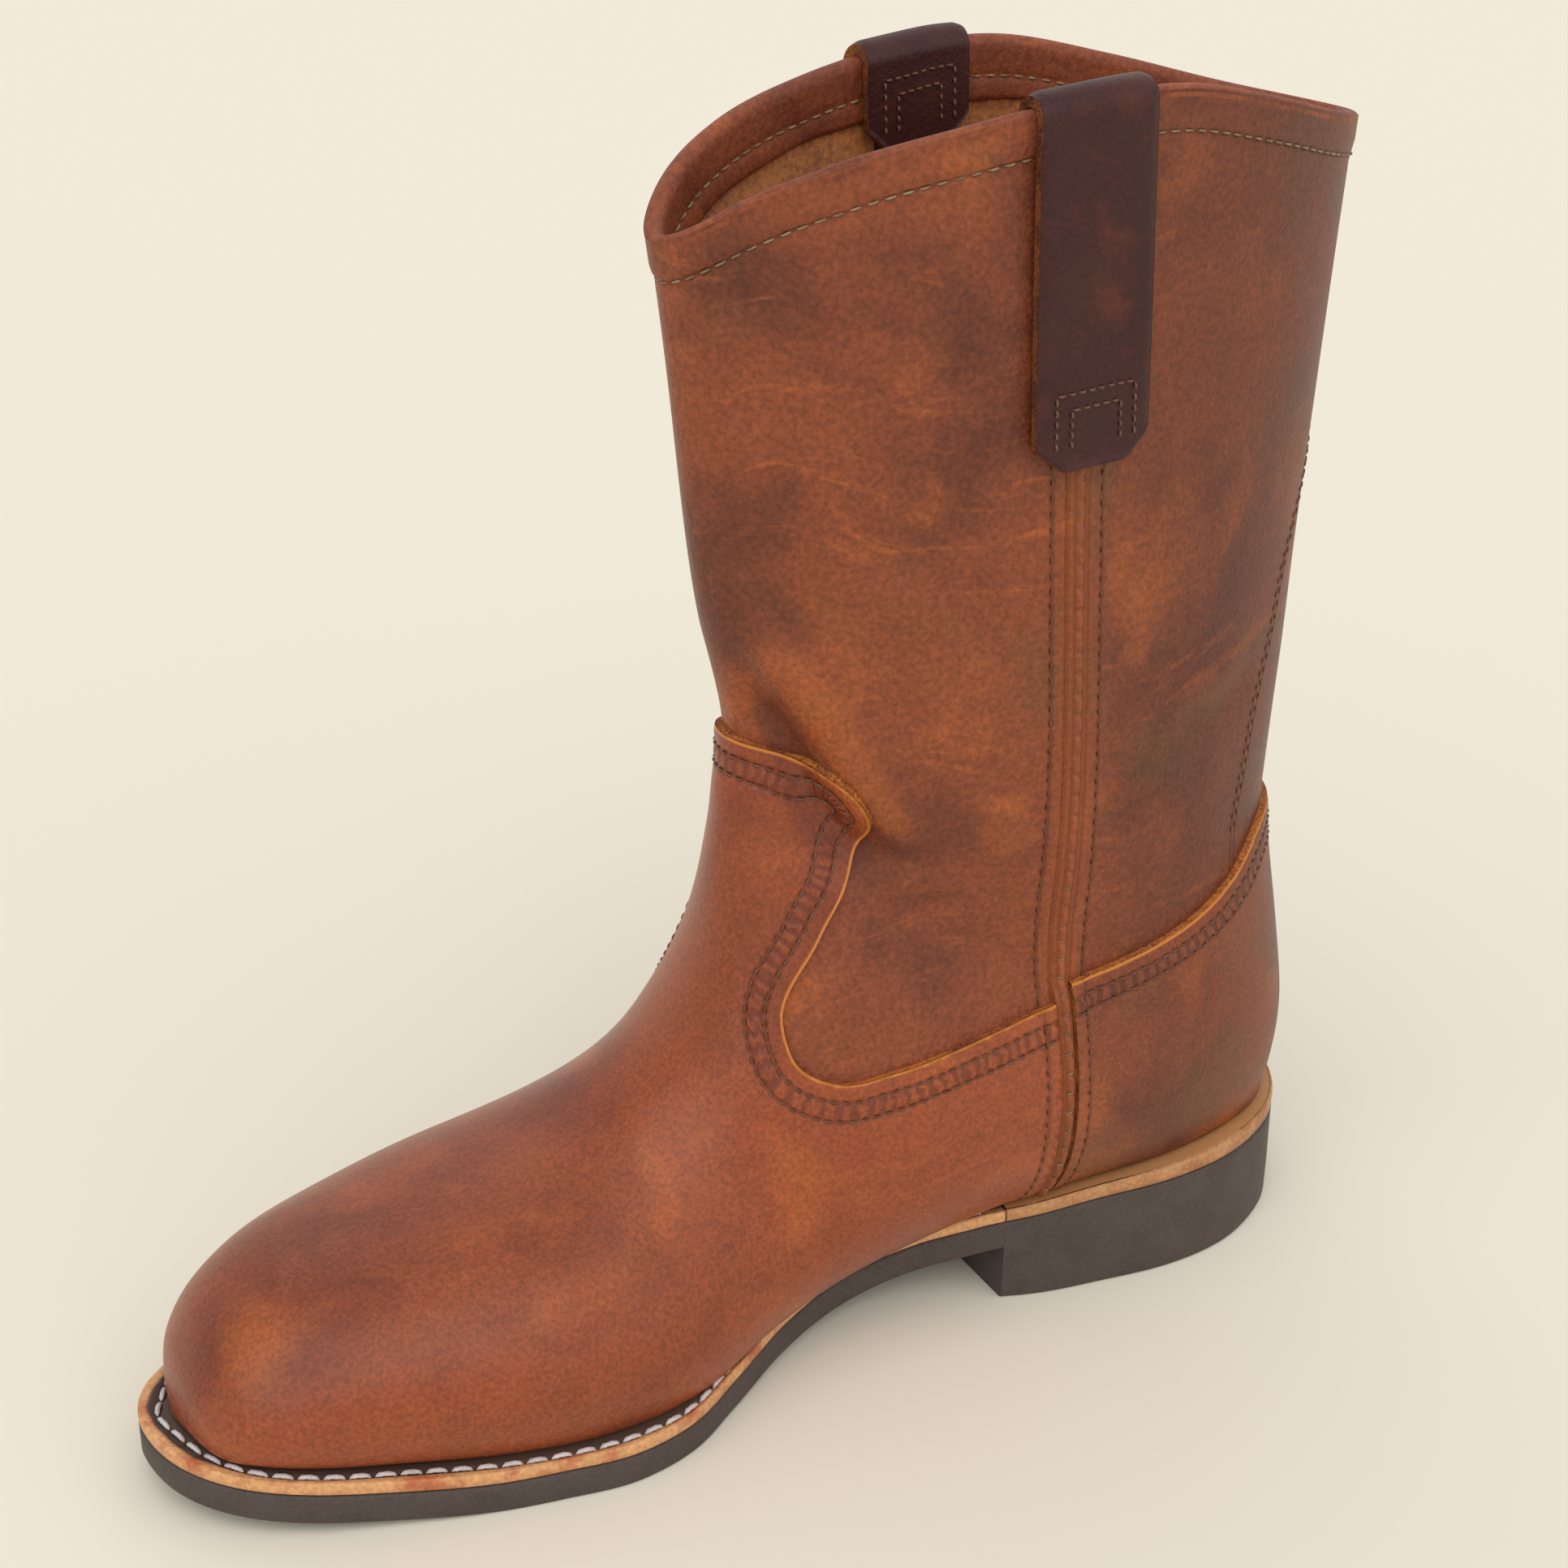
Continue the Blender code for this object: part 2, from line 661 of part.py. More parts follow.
def make_counter():
    """Overlay round the heel, up to its curved top edge."""
    table = columns(COUNTER_EDGE_COLUMNS, COUNTER_EDGE)
    shell = make_shell("counter", 20.0, GAP, GAP + OVERLAY, LEATHER_DARK)
    edge = [(world_x(a), height_at(a, h)) for a, h in zip(table["along"], table["height"])]
    edge = smooth_outline(edge, 3)
    butt = SEAM_WIDTH / 2 + GAP
    foot = [(seam_x(-0.5) - butt, -HEEL_HEIGHT)]
    foot += [(x - butt, z) for x, z in seam_points(0, 0.0, COUNTER_EDGE[0][1], 3)[:-1]]
    edge[0] = (edge[0][0] - butt, edge[0][1])
    back = [(world_x(-0.2), edge[-1][1]), (world_x(-0.2), -HEEL_HEIGHT)]
    guide = make_cutter("counter_guide", foot + edge + back, -BALL_WIDTH, BALL_WIDTH)
    keep_inside(shell, guide)


def make_seam(name, side):
    """Raised seam up one side, from the feather edge to the strap."""
    shell = make_shell(name, 23.0, GAP, GAP + SEAM_HEIGHT, LEATHER_DARK)
    top = SEAM_LINE[-1][0]
    front = seam_points(SEAM_WIDTH / 2, SEAM_LINE[0][0], top, 8)
    back = seam_points(-SEAM_WIDTH / 2, SEAM_LINE[0][0], top, 8)
    low, high = (0.0, BALL_WIDTH) if side > 0 else (-BALL_WIDTH, 0.0)
    guide = make_cutter(name + "_guide", front + back[::-1], low, high)
    keep_inside(shell, guide)


# Straps, facing and insole


def turn_of_x(number, x):
    """Turn at which a section passes a world place along the boot."""
    size = section(number)
    share = (size["top_point"][0] - x) / (size["top_point"][0] - size["end_point"][0])
    knee = CROWN_STEPS / (CROWN_STEPS + SIDE_STEPS)
    widest = size["widest"]
    if share <= widest:
        return knee * math.acos(1 - share / widest) / (math.pi / 2)
    return knee + (1 - knee) * math.asin((share - widest) / (1 - widest)) / (math.pi / 2)


def number_at_drop(turn_at_number, drop):
    """Section number whose point lies a given drop under the collar, for a turn that may vary."""
    top = surface(float(LAST_SECTION), turn_at_number(float(LAST_SECTION))).z
    low, high = float(CLOSED_SECTION), float(LAST_SECTION)
    for _ in range(24):
        middle = (low + high) / 2
        if top - surface(middle, turn_at_number(middle)).z > drop:
            low = middle
        else:
            high = middle
    return high


def strap_line(x, side, clip):
    """Centre points and outward directions of a strap's line, from its outer end over the collar."""
    inner = -(WALL + GAP + FACING_THICKNESS + GAP)

    def wall(drop):
        """Point and direction of the shaft's face on the line, a drop under the collar."""
        place = x - STRAP_LEAN * drop
        number = number_at_drop(lambda n: side * turn_of_x(n, place), drop)
        turn = side * turn_of_x(number, place)
        return surface(number, turn), outward(number, turn)

    line = []
    for drop in np.linspace(STRAP_OUTER_LEG - clip, 0, 8):
        point, out = wall(drop)
        line.append((point + out * GAP, out))
    point, out = wall(0)
    centre = point + out * (GAP + inner) / 2
    half = (GAP - inner) / 2
    for angle in np.linspace(0, math.pi, 7)[1:-1]:
        away = out * math.cos(angle) + Vector((0, 0, 1)) * math.sin(angle)
        place = centre + out * half * math.cos(angle) + Vector((0, 0, STRAP_LOOP * math.sin(angle)))
        line.append((place, away))
    for drop in np.linspace(0, STRAP_INNER_LEG - clip, 4):
        point, out = wall(drop)
        line.append((point + out * inner, -out))
    return line


def make_strap(name, side):
    """Pull strap of one side: up the outside, over the collar in a loop, and down inside."""
    bm = bmesh.new()
    middle = world_x(STRAP_AT)
    half = STRAP_WIDTH / 2
    places = (-half, -half + STRAP_CLIP, 0, half - STRAP_CLIP, half)
    clips = (STRAP_CLIP, 0, 0, 0, STRAP_CLIP)
    skins = []
    lines = [strap_line(middle + p, side, c) for p, c in zip(places, clips)]
    for offset in (0, STRAP_THICKNESS):
        skins.append([[bm.verts.new(point + away * offset) for point, away in line] for line in lines])
    near, far = skins
    count = len(near[0])
    for i in range(len(near) - 1):
        for j in range(count - 1):
            for skin in skins:
                add_face(bm, (skin[i][j], skin[i + 1][j], skin[i + 1][j + 1], skin[i][j + 1]))
        for j in (0, -1):
            add_face(bm, (near[i][j], near[i + 1][j], far[i + 1][j], far[i][j]))
    for i in (0, -1):
        for j in range(count - 1):
            add_face(bm, (near[i][j], near[i][j + 1], far[i][j + 1], far[i][j]))
    return add_object(name, bm, STRAP_LEATHER)


def make_facing():
    """Band of smooth leather inside the collar."""
    bm = bmesh.new()
    offsets = (-(WALL + GAP), -(WALL + GAP + FACING_THICKNESS))
    turns = mesh_turns()[:-1]
    rings = []
    for turn in turns:
        ring = []
        for offset, drops in zip(offsets, ((0.0, 0.5, 1.0), (1.0, 0.5, 0.0))):
            for drop in drops:
                number = number_at_drop(lambda n: turn, drop * FACING_DEPTH)
                ring.append(bm.verts.new(surface(number, turn) + outward(number, turn) * offset))
        rings.append(ring)
    for i, ring in enumerate(rings):
        before = rings[i - 1]
        for k in range(len(ring)):
            add_face(bm, (ring[k], before[k], before[k - 1], ring[k - 1]))
    return add_object("collar_facing", bm, FACING_LEATHER)


def make_insole():
    """Board inside the feather edge, on the inner margin of welt and rand."""
    bm = bmesh.new()
    numbers = [n for n in section_numbers(LAST_SECTION) if n <= CLOSED_SECTION]
    rows = []
    for number in numbers:
        row = []
        for turn in (1, -1):
            point = wall_point(number, turn, -(WALL + INSOLE_CLEARANCE))
            low = seat(point.x)
            row.append([bm.verts.new((point.x, point.y, low + t)) for t in (0, INSOLE_THICKNESS)])
        if number in (0, CLOSED_SECTION):
            for vertex in row[1]:
                bm.verts.remove(vertex)
            row[1] = row[0]
        rows.append(row)
    for a, b in zip(rows, rows[1:]):
        for k in (0, 1):
            add_face(bm, (a[0][k], b[0][k], b[1][k], a[1][k]))
            add_face(bm, (a[k][0], b[k][0], b[k][1], a[k][1]))
    return add_object("insole", bm, INSOLE_LEATHER)


def main():
    """Builds the boot."""
    for old in list(bpy.data.objects):
        bpy.data.objects.remove(old)
    make_outsole()
    make_welt_and_rand()
    make_insole()
    make_upper()
    make_vamp()
    make_counter()
    make_seam("side_seam_medial", 1)
    make_seam("side_seam_lateral", -1)
    make_strap("pull_strap_medial", 1)
    make_strap("pull_strap_lateral", -1)
    make_facing()


main()
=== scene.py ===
"""The right western work boot as it looks in the studio: oiled leather, raw cut edges, thread and rubber.

Metres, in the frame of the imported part: toe towards +X, inner side towards +Y, floor at z = 0.
"""

import math
from functools import lru_cache

import bpy
import numpy as np
from mathutils import Matrix, Vector
from mathutils.bvhtree import BVHTree


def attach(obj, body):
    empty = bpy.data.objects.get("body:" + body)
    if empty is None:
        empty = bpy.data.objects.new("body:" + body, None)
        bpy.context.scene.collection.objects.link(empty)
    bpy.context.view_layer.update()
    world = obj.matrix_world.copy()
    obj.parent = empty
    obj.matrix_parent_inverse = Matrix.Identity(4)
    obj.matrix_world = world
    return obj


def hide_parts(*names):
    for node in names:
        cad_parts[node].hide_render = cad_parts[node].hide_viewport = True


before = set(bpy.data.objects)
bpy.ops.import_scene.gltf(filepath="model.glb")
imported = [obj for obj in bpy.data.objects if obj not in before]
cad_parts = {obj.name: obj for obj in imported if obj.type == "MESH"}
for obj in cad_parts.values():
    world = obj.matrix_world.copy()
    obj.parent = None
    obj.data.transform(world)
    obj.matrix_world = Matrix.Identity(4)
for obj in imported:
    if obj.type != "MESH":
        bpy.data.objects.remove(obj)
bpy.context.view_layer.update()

bl_info = {
    "name": "Western work boot",
    "version": (1, 0, 0),
    "blender": (4, 5, 0),
    "location": "3D View > Sidebar > Boot",
    "description": "Dresses the packed boot in leather, thread and rubber",
    "category": "Object",
}

MM = 0.001

# The last and its leather, as packed
SOLE_LENGTH = 0.306
BALL_WIDTH = 0.105
INSTEP_HEIGHT = 0.078
COLLAR_HEIGHT = 0.254
COLLAR_RISE = 0.0213
OUTSOLE_THICKNESS = 0.0075
HEEL_HEIGHT = 0.0249
HEEL_LENGTH = 0.100
HEEL_FLARE = 0.003
TOE_SPRING = 0.0065
WELT_THICKNESS = 0.0033
RAND_THICKNESS = 0.005
GAP = 0.0003
WALL = 0.002
OVERLAY = 0.0018
SEAM_WIDTH = 0.0044
SEAM_HEIGHT = 0.0026
ORIGIN_AT = 0.163
STRAP_AT = 0.330
LEVEL_HEIGHT = 0.006
TOE_TIP = -0.010
CLOSED_SECTION = 15
LAST_SECTION = 24
RISE_FROM_SECTION = 18
KNEE = 8 / 14

# Sole edge: place along the sole, reach to the inner and the outer side in ball widths
SOLE_EDGE = np.array((
    (0.060, 0.281, 0.271), (0.120, 0.347, 0.333), (0.180, 0.359, 0.355), (0.240, 0.344, 0.364),
    (0.300, 0.325, 0.375), (0.350, 0.286, 0.389), (0.400, 0.240, 0.410), (0.460, 0.226, 0.434),
    (0.520, 0.272, 0.470), (0.580, 0.365, 0.505), (0.630, 0.447, 0.523), (0.680, 0.479, 0.524),
    (0.740, 0.457, 0.499), (0.800, 0.419, 0.452), (0.860, 0.366, 0.390), (0.910, 0.316, 0.314),
    (0.950, 0.253, 0.219), (0.985, 0.149, 0.124),
))

# Sole profile: place along the sole, share of the heel's rise, share of the toe spring
PROFILE = np.array((
    (0.000, 1.000, 0.00), (0.160, 0.940, 0.00), (0.300, 0.895, 0.00), (0.340, 0.830, 0.00),
    (0.380, 0.690, 0.00), (0.420, 0.535, 0.00), (0.460, 0.378, 0.00), (0.500, 0.245, 0.00),
    (0.535, 0.140, 0.00), (0.575, 0.045, 0.00), (0.615, 0.000, 0.00), (0.780, 0.000, 0.00),
    (0.850, 0.000, 0.22), (0.905, 0.000, 0.46), (0.955, 0.000, 0.70), (1.000, 0.000, 1.00),
))

# Sections of the upper from toe to collar: top's place and height, end's place and height, inner and
# outer half width, inner and outer half width at the feather edge
SECTIONS = np.array((
    (0.971, 0.000, 0.971, 0.000, 0.000, 0.000, 0.000, 0.000),
    (0.969, 0.082, 0.954, 0.000, 0.162, 0.133, 0.129, 0.095),
    (0.961, 0.177, 0.928, 0.000, 0.233, 0.224, 0.210, 0.190),
    (0.938, 0.296, 0.889, 0.000, 0.290, 0.290, 0.265, 0.270),
    (0.895, 0.403, 0.837, 0.000, 0.343, 0.357, 0.308, 0.333),
    (0.840, 0.464, 0.778, 0.000, 0.390, 0.414, 0.362, 0.393),
    (0.771, 0.527, 0.703, 0.000, 0.438, 0.462, 0.410, 0.437),
    (0.696, 0.591, 0.621, 0.000, 0.424, 0.462, 0.386, 0.440),
    (0.634, 0.686, 0.539, 0.000, 0.357, 0.438, 0.276, 0.404),
    (0.592, 0.818, 0.458, 0.000, 0.333, 0.410, 0.223, 0.361),
    (0.565, 0.992, 0.369, 0.000, 0.362, 0.400, 0.239, 0.326),
    (0.549, 1.072, 0.268, 0.000, 0.367, 0.386, 0.272, 0.305),
    (0.541, 1.144, 0.163, 0.000, 0.364, 0.364, 0.292, 0.295),
    (0.536, 1.211, 0.072, 0.000, 0.345, 0.350, 0.236, 0.238),
    (0.534, 1.245, 0.031, 0.000, 0.336, 0.342, 0.128, 0.128),
    (0.533, 1.273, 0.017, 0.000, 0.331, 0.338, 0.000, 0.000),
    (0.530, 1.330, 0.008, 0.251, 0.338, 0.345, 0.000, 0.000),
    (0.533, 1.387, 0.021, 0.572, 0.348, 0.353, 0.000, 0.000),
    (0.542, 1.457, 0.041, 0.958, 0.352, 0.357, 0.000, 0.000),
    (0.552, 1.528, 0.039, 1.123, 0.352, 0.357, 0.000, 0.000),
    (0.560, 1.609, 0.034, 1.265, 0.350, 0.357, 0.000, 0.000),
    (0.567, 1.701, 0.031, 1.419, 0.346, 0.354, 0.000, 0.000),
    (0.575, 1.816, 0.026, 1.589, 0.342, 0.350, 0.000, 0.000),
    (0.583, 1.919, 0.021, 1.777, 0.340, 0.348, 0.000, 0.000),
    (0.590, 2.000, 0.015, 1.969, 0.340, 0.348, 0.000, 0.000),
))

# Form of the sections: number, widest place, powers of crown, side and heel, offset of the front line
FORM = np.array((
    (0, 0.72, 2.30, 2.20, 2.00, 0.005), (4, 0.72, 2.30, 2.20, 2.00, -0.005),
    (7, 0.70, 2.20, 2.20, 2.00, 0.018), (10, 0.66, 2.10, 2.15, 2.00, 0.026),
    (13, 0.66, 2.00, 2.10, 2.30, 0.018), (15, 0.65, 1.90, 2.05, 2.40, 0.013),
    (17, 0.57, 1.84, 1.95, 2.30, 0.011), (20, 0.52, 1.80, 1.85, 2.00, 0.010),
    (24, 0.50, 1.78, 1.70, 2.00, 0.009),
))

# Collar: place from the front line to the back line, share of the collar's rise
COLLAR = np.array((
    (0.00, 0.00), (0.07, 0.38), (0.16, 0.66), (0.30, 0.88), (0.45, 1.00), (0.60, 0.96), (0.75, 0.63),
    (0.90, 0.23), (1.00, 0.00),
))

# Side seam, edge of the vamp and of the counter, line of the back stay: heights go from 0 at the
# feather edge through 1 at the instep to 2 at the collar
SEAM_LINE = np.array(((-0.50, 0.297), (0.80, 0.297), (1.10, 0.303), (1.65, 0.322), (2.10, 0.334)))
VAMP_EDGE = np.array((
    (0.297, 0.750), (0.380, 0.750), (0.448, 0.769), (0.493, 0.800), (0.519, 0.880), (0.525, 0.985),
    (0.492, 1.101), (0.464, 1.172), (0.457, 1.225), (0.473, 1.288), (0.505, 1.337), (0.560, 1.375),
))
COUNTER_EDGE = np.array((
    (0.297, 0.790), (0.242, 0.825), (0.189, 0.889), (0.130, 0.985), (0.090, 1.030), (0.000, 1.035),
))
STAY_LINE = np.array((
    (0.90, 0.050), (1.03, 0.045), (1.12, 0.040), (1.235, 0.036), (1.32, 0.031), (1.40, 0.027),
    (1.47, 0.020), (1.54, 0.011), (1.60, 0.000), (1.75, -0.030),
))

# Creases: side, points (place along the sole, height), rise, width, drop beside it and
# how far below the ridge that trough lies, all in metres
CREASES = (
    (1, ((0.548, 1.545), (0.535, 1.506), (0.517, 1.463), (0.497, 1.404), (0.474, 1.328), (0.455, 1.262),
         (0.432, 1.204), (0.405, 1.150)), 0.0030, 0.0058, 0.0044, -0.0086),
    (1, ((0.562, 1.440), (0.545, 1.425), (0.530, 1.400), (0.520, 1.370)), -0.0014, 0.0030, 0.0, -0.006),
    (1, ((0.445, 1.160), (0.428, 1.130), (0.405, 1.120), (0.385, 1.130)), 0.0009, 0.0035, 0.0009, 0.006),
    (1, ((0.480, 1.560), (0.440, 1.520), (0.400, 1.440), (0.385, 1.350)), 0.0006, 0.0060, 0.0006, 0.010),
    (1, ((0.130, 1.330), (0.170, 1.300), (0.215, 1.310)), 0.0006, 0.0050, 0.0008, 0.008),
    (-1, ((0.548, 1.530), (0.525, 1.480), (0.495, 1.410), (0.465, 1.330), (0.430, 1.260), (0.390, 1.210)),
     0.0024, 0.0060, 0.0040, -0.0095),
    (-1, ((0.150, 1.400), (0.200, 1.360), (0.250, 1.350)), 0.0007, 0.0055, 0.0008, 0.008),
    (-1, ((0.520, 1.650), (0.470, 1.620), (0.420, 1.600)), 0.0005, 0.0060, 0.0006, 0.010),
    (1, ((0.720, 0.420), (0.700, 0.330), (0.690, 0.230)), 0.0003, 0.0060, 0.0004, 0.009),
)

# Distances of thread rows from the edge or line that they follow
EDGE_ROWS = (0.0042, 0.0088)
SEAM_ROW = 0.0062
COLLAR_ROW = 0.0085
STAY_ROWS = (0.0, 0.0022)


# Numbers, colours and nodes


def smooth(knots, values, at):
    """Values between the rows of a table, on a smooth curve through all of them."""
    at = np.asarray(at, float)
    slopes = np.gradient(values, knots)
    i = np.clip(np.searchsorted(knots, at) - 1, 0, len(knots) - 2)
    span = knots[i + 1] - knots[i]
    t = np.clip((at - knots[i]) / span, 0.0, 1.0)
    start = (1 + 2 * t) * (1 - t) ** 2 * values[i] + t * (1 - t) ** 2 * span * slopes[i]
    end = t * t * (3 - 2 * t) * values[i + 1] + t * t * (t - 1) * span * slopes[i + 1]
    return start + end


def ease(low, high, value):
    """0 below low, 1 above high, smooth between."""
    t = np.clip((np.asarray(value, float) - low) / (high - low), 0.0, 1.0)
    return t * t * (3 - 2 * t)


def linear(code):
    """Linear colour of an sRGB hex value."""
    parts = [int(code[i:i + 2], 16) / 255 for i in (0, 2, 4)]
    return [c / 12.92 if c <= 0.04045 else ((c + 0.055) / 1.055) ** 2.4 for c in parts]


def put(tree, kind, sockets=None, out=0, **settings):
    """Adds a shader node with its options and, by input, values or the outputs that feed it; gives one output."""
    made = tree.nodes.new("ShaderNode" + kind)
    for key, value in settings.items():
        setattr(made, key, value)
    for key, value in (sockets or {}).items():
        if isinstance(value, bpy.types.NodeSocket):
            tree.links.new(value, made.inputs[key])
        else:
            made.inputs[key].default_value = value
    return made.outputs[out]


def unit(vectors):
    """Vectors of length one."""
    return vectors / np.maximum(np.linalg.norm(vectors, axis=-1, keepdims=True), 1e-12)


# Sole and section shapes


def world_x(along):
    """World place of a share of the sole's length."""
    return (along - ORIGIN_AT) * SOLE_LENGTH


def along_of(x):
    """Share of the sole's length at a world place."""
    return x / SOLE_LENGTH + ORIGIN_AT


def outsole_top(x):
    """Height of the outsole's upper face."""
    heel = np.maximum(smooth(PROFILE[:, 0], PROFILE[:, 1], along_of(x)), 0.0)
    toe = np.maximum(smooth(PROFILE[:, 0], PROFILE[:, 2], along_of(x)), 0.0)
    return OUTSOLE_THICKNESS + heel * (HEEL_HEIGHT - OUTSOLE_THICKNESS) + toe * TOE_SPRING


def outsole_under(x):
    """Height of the outsole plate's lower face."""
    return np.maximum(outsole_top(x) - OUTSOLE_THICKNESS, 0.0)


def welt_thickness(x):
    """Thickness of welt and rand."""
    back = 1 - np.minimum((x - world_x(0)) / HEEL_LENGTH, 1.0)
    return WELT_THICKNESS + (RAND_THICKNESS - WELT_THICKNESS) * back


def seat(x):
    """Height of the feather edge."""
    return outsole_top(x) + GAP + welt_thickness(x) + GAP


def height_at(along, share):
    """World height at a place along the sole, from a share as in the sections."""
    low = np.minimum(share, 1.0) * INSTEP_HEIGHT
    high = np.maximum(np.asarray(share) - 1.0, 0.0) * (COLLAR_HEIGHT - INSTEP_HEIGHT)
    return seat(world_x(along)) + low + high


def share_of(x, z):
    """Height as in the sections, from world places."""
    over = z - seat(x)
    return np.where(over <= INSTEP_HEIGHT, over / INSTEP_HEIGHT,
                    1 + (over - INSTEP_HEIGHT) / (COLLAR_HEIGHT - INSTEP_HEIGHT))


def sole_edge(turns, side):
    """Edge of the sole at turns from 0 at the heel's back to 1 at the toe, side +1 inner, -1 outer."""
    knots = np.arccos(1 - 2 * np.concatenate(([0], SOLE_EDGE[:, 0], [1]))) / math.pi
    reach = np.concatenate(([0], SOLE_EDGE[:, 1 if side > 0 else 2], [side * TOE_TIP]))
    along = (1 - np.cos(math.pi * turns)) / 2
    return np.stack((world_x(along), side * smooth(knots, reach, turns) * BALL_WIDTH), -1)


def turn_at(along):
    """Turn of the sole's edge at a place along the sole."""
    return math.acos(1 - 2 * along) / math.pi


def skin(number, turn):
    """Points of the upper's outer face by section number and turn, -1 outer end to +1 inner end."""
    number, turn = np.broadcast_arrays(np.asarray(number, float), np.asarray(turn, float))
    rows = np.arange(len(SECTIONS), dtype=float)
    size = [np.maximum(smooth(rows, SECTIONS[:, k], number), 0.0) for k in range(8)]
    top, top_height, end, end_height, inner, outer, inner_foot, outer_foot = size
    widest, crown, side, bend, ridge = [smooth(FORM[:, 0], FORM[:, k], number) for k in range(1, 6)]
    closed = number >= CLOSED_SECTION
    end_height = np.where(closed, end_height, 0.0)
    sign = np.where(turn >= 0, 1.0, -1.0)
    width = np.where(turn >= 0, inner, outer) * BALL_WIDTH
    foot = np.where(closed, 0.0, np.where(turn >= 0, inner_foot, outer_foot)) * BALL_WIDTH
    turn = np.abs(turn)
    place = 1 - np.cos(np.minimum(turn / KNEE, 1.0) * math.pi / 2)
    full = np.maximum(1 - (1 - place) ** 2, 0.0) ** (1 / crown)
    ridge = ridge * BALL_WIDTH
    above = ridge + (sign * width - ridge) * full
    cut = np.maximum(1 - (foot / np.maximum(width, GAP)) ** side, 0.0) ** (1 / bend)
    reach = np.sin((np.maximum(turn, KNEE) - KNEE) / (1 - KNEE) * np.arcsin(np.minimum(cut, 1.0)))
    below = sign * width * np.maximum(1 - reach ** bend, 0.0) ** (1 / side)
    low = turn > KNEE
    share = np.where(low, widest + (1 - widest) * reach / np.maximum(cut, 1e-6), place * widest)
    lift = np.clip((number - RISE_FROM_SECTION) / (LAST_SECTION - RISE_FROM_SECTION), 0.0, 1.0)
    lift = COLLAR_RISE * lift * (1.6 - 0.6 * lift) * lift ** 0.5
    rise = lift * np.maximum(smooth(COLLAR[:, 0], COLLAR[:, 1], share), 0.0)
    top_x, end_x = world_x(top), world_x(end)
    top_z, end_z = height_at(top, top_height), height_at(end, end_height)
    run_x, run_z = end_x - top_x, end_z - top_z
    length = np.maximum(np.hypot(run_x, run_z), 1e-9)
    flat = length < GAP
    up_x, up_z = np.where(flat, 0.0, run_z / length), np.where(flat, 1.0, -run_x / length)
    x = top_x + share * run_x + rise * up_x
    z = top_z + share * run_z + rise * up_z
    return np.stack((x, np.where(low, below, above), z), -1)


# Meshes as tables: each row holds place, direction outward and measures of one point

PLACE, OUT = slice(0, 3), slice(3, 6)
SEAM, TOP, STAY, EDGE, RUN, FOLD = 6, 7, 8, 9, 10, 11
WIDTH_OF_TABLE = 12


def quads(index):
    """Faces between the rows and columns of a grid of point numbers."""
    a, b, c, d = index[:-1, :-1], index[1:, :-1], index[1:, 1:], index[:-1, 1:]
    return np.stack((a, b, c, d), -1).reshape(-1, 4)


def tidy(faces):
    """Faces as lists, where corners that coincide count once."""
    made = []
    for face in faces.tolist():
        corners = [c for i, c in enumerate(face) if c != face[i - 1]]
        if len(corners) > 2:
            made.append(corners)
    return made


def normals(places, faces):
    """Directions of a mesh at its points."""
    total = np.zeros_like(places)
    face = places[faces]
    cross = np.cross(face[:, 2] - face[:, 0], face[:, 3] - face[:, 1])
    for k in range(4):
        np.add.at(total, faces[:, k], cross)
    return unit(total)


def polyline_distance(points, line):
    """Signed distance in the side view to a polyline, where it is and how far along its run."""
    best = np.full(len(points), 1e9)
    signed = np.zeros(len(points))
    run = np.zeros(len(points))
    lengths = np.linalg.norm(np.diff(line, axis=0), axis=1)
    starts = np.concatenate(([0], np.cumsum(lengths)))
    for a, b, start, length in zip(line, line[1:], starts, lengths):
        way = (b - a) / length
        off = points - a
        t = np.clip(off @ way, 0, length)
        near = off - t[:, None] * way
        distance = np.linalg.norm(near, axis=1)
        sign = np.sign(off[:, 0] * way[1] - off[:, 1] * way[0])
        closer = distance < best
        best = np.where(closer, distance, best)
        signed = np.where(closer, sign * distance, signed)
        run = np.where(closer, start + t, run)
    return signed, run / starts[-1]


def spline(points, steps):
    """More points on a smooth curve through a row of points."""
    points = np.asarray(points, float)
    run = np.concatenate(([0], np.cumsum(np.linalg.norm(np.diff(points, axis=0), axis=1))))
    places = np.linspace(0, run[-1], steps)
    return np.stack([smooth(run, points[:, k], places) for k in range(points.shape[1])], -1)


def fold_heights(places):
    """How far creases lift or sink the leather at points, in metres."""
    total = np.zeros(len(places))
    for side, points, rise, width, drop, beside in CREASES:
        points = np.array(points)
        line = spline(np.stack((world_x(points[:, 0]), height_at(points[:, 0], points[:, 1])), -1), 40)
        signed, run = polyline_distance(places[:, (0, 2)], line)
        fade = ease(0.0, 0.22, run) * ease(0.0, 0.30, 1 - run)
        ends = np.where((run <= 0.001) | (run >= 0.999), 0.0, 1.0)
        near = np.exp(-(signed / width) ** 2) * rise - np.exp(-((signed - beside) / (width * 1.1)) ** 2) * drop
        front = ease(0.003, 0.017, side * (places[:, 1] - 0.001))
        total += near * fade * ends * front
    return total


def fine_numbers():
    """Section numbers of the fine mesh, close together round the toe and the heel."""
    toe = 3 * np.linspace(0, 1, 30, endpoint=False) ** 1.5
    foot = np.linspace(3, 13, 84, endpoint=False)
    heel = np.linspace(13, 15.6, 30, endpoint=False)
    shaft = np.linspace(15.6, LAST_SECTION, 112)
    return np.concatenate((toe, foot, heel, shaft))


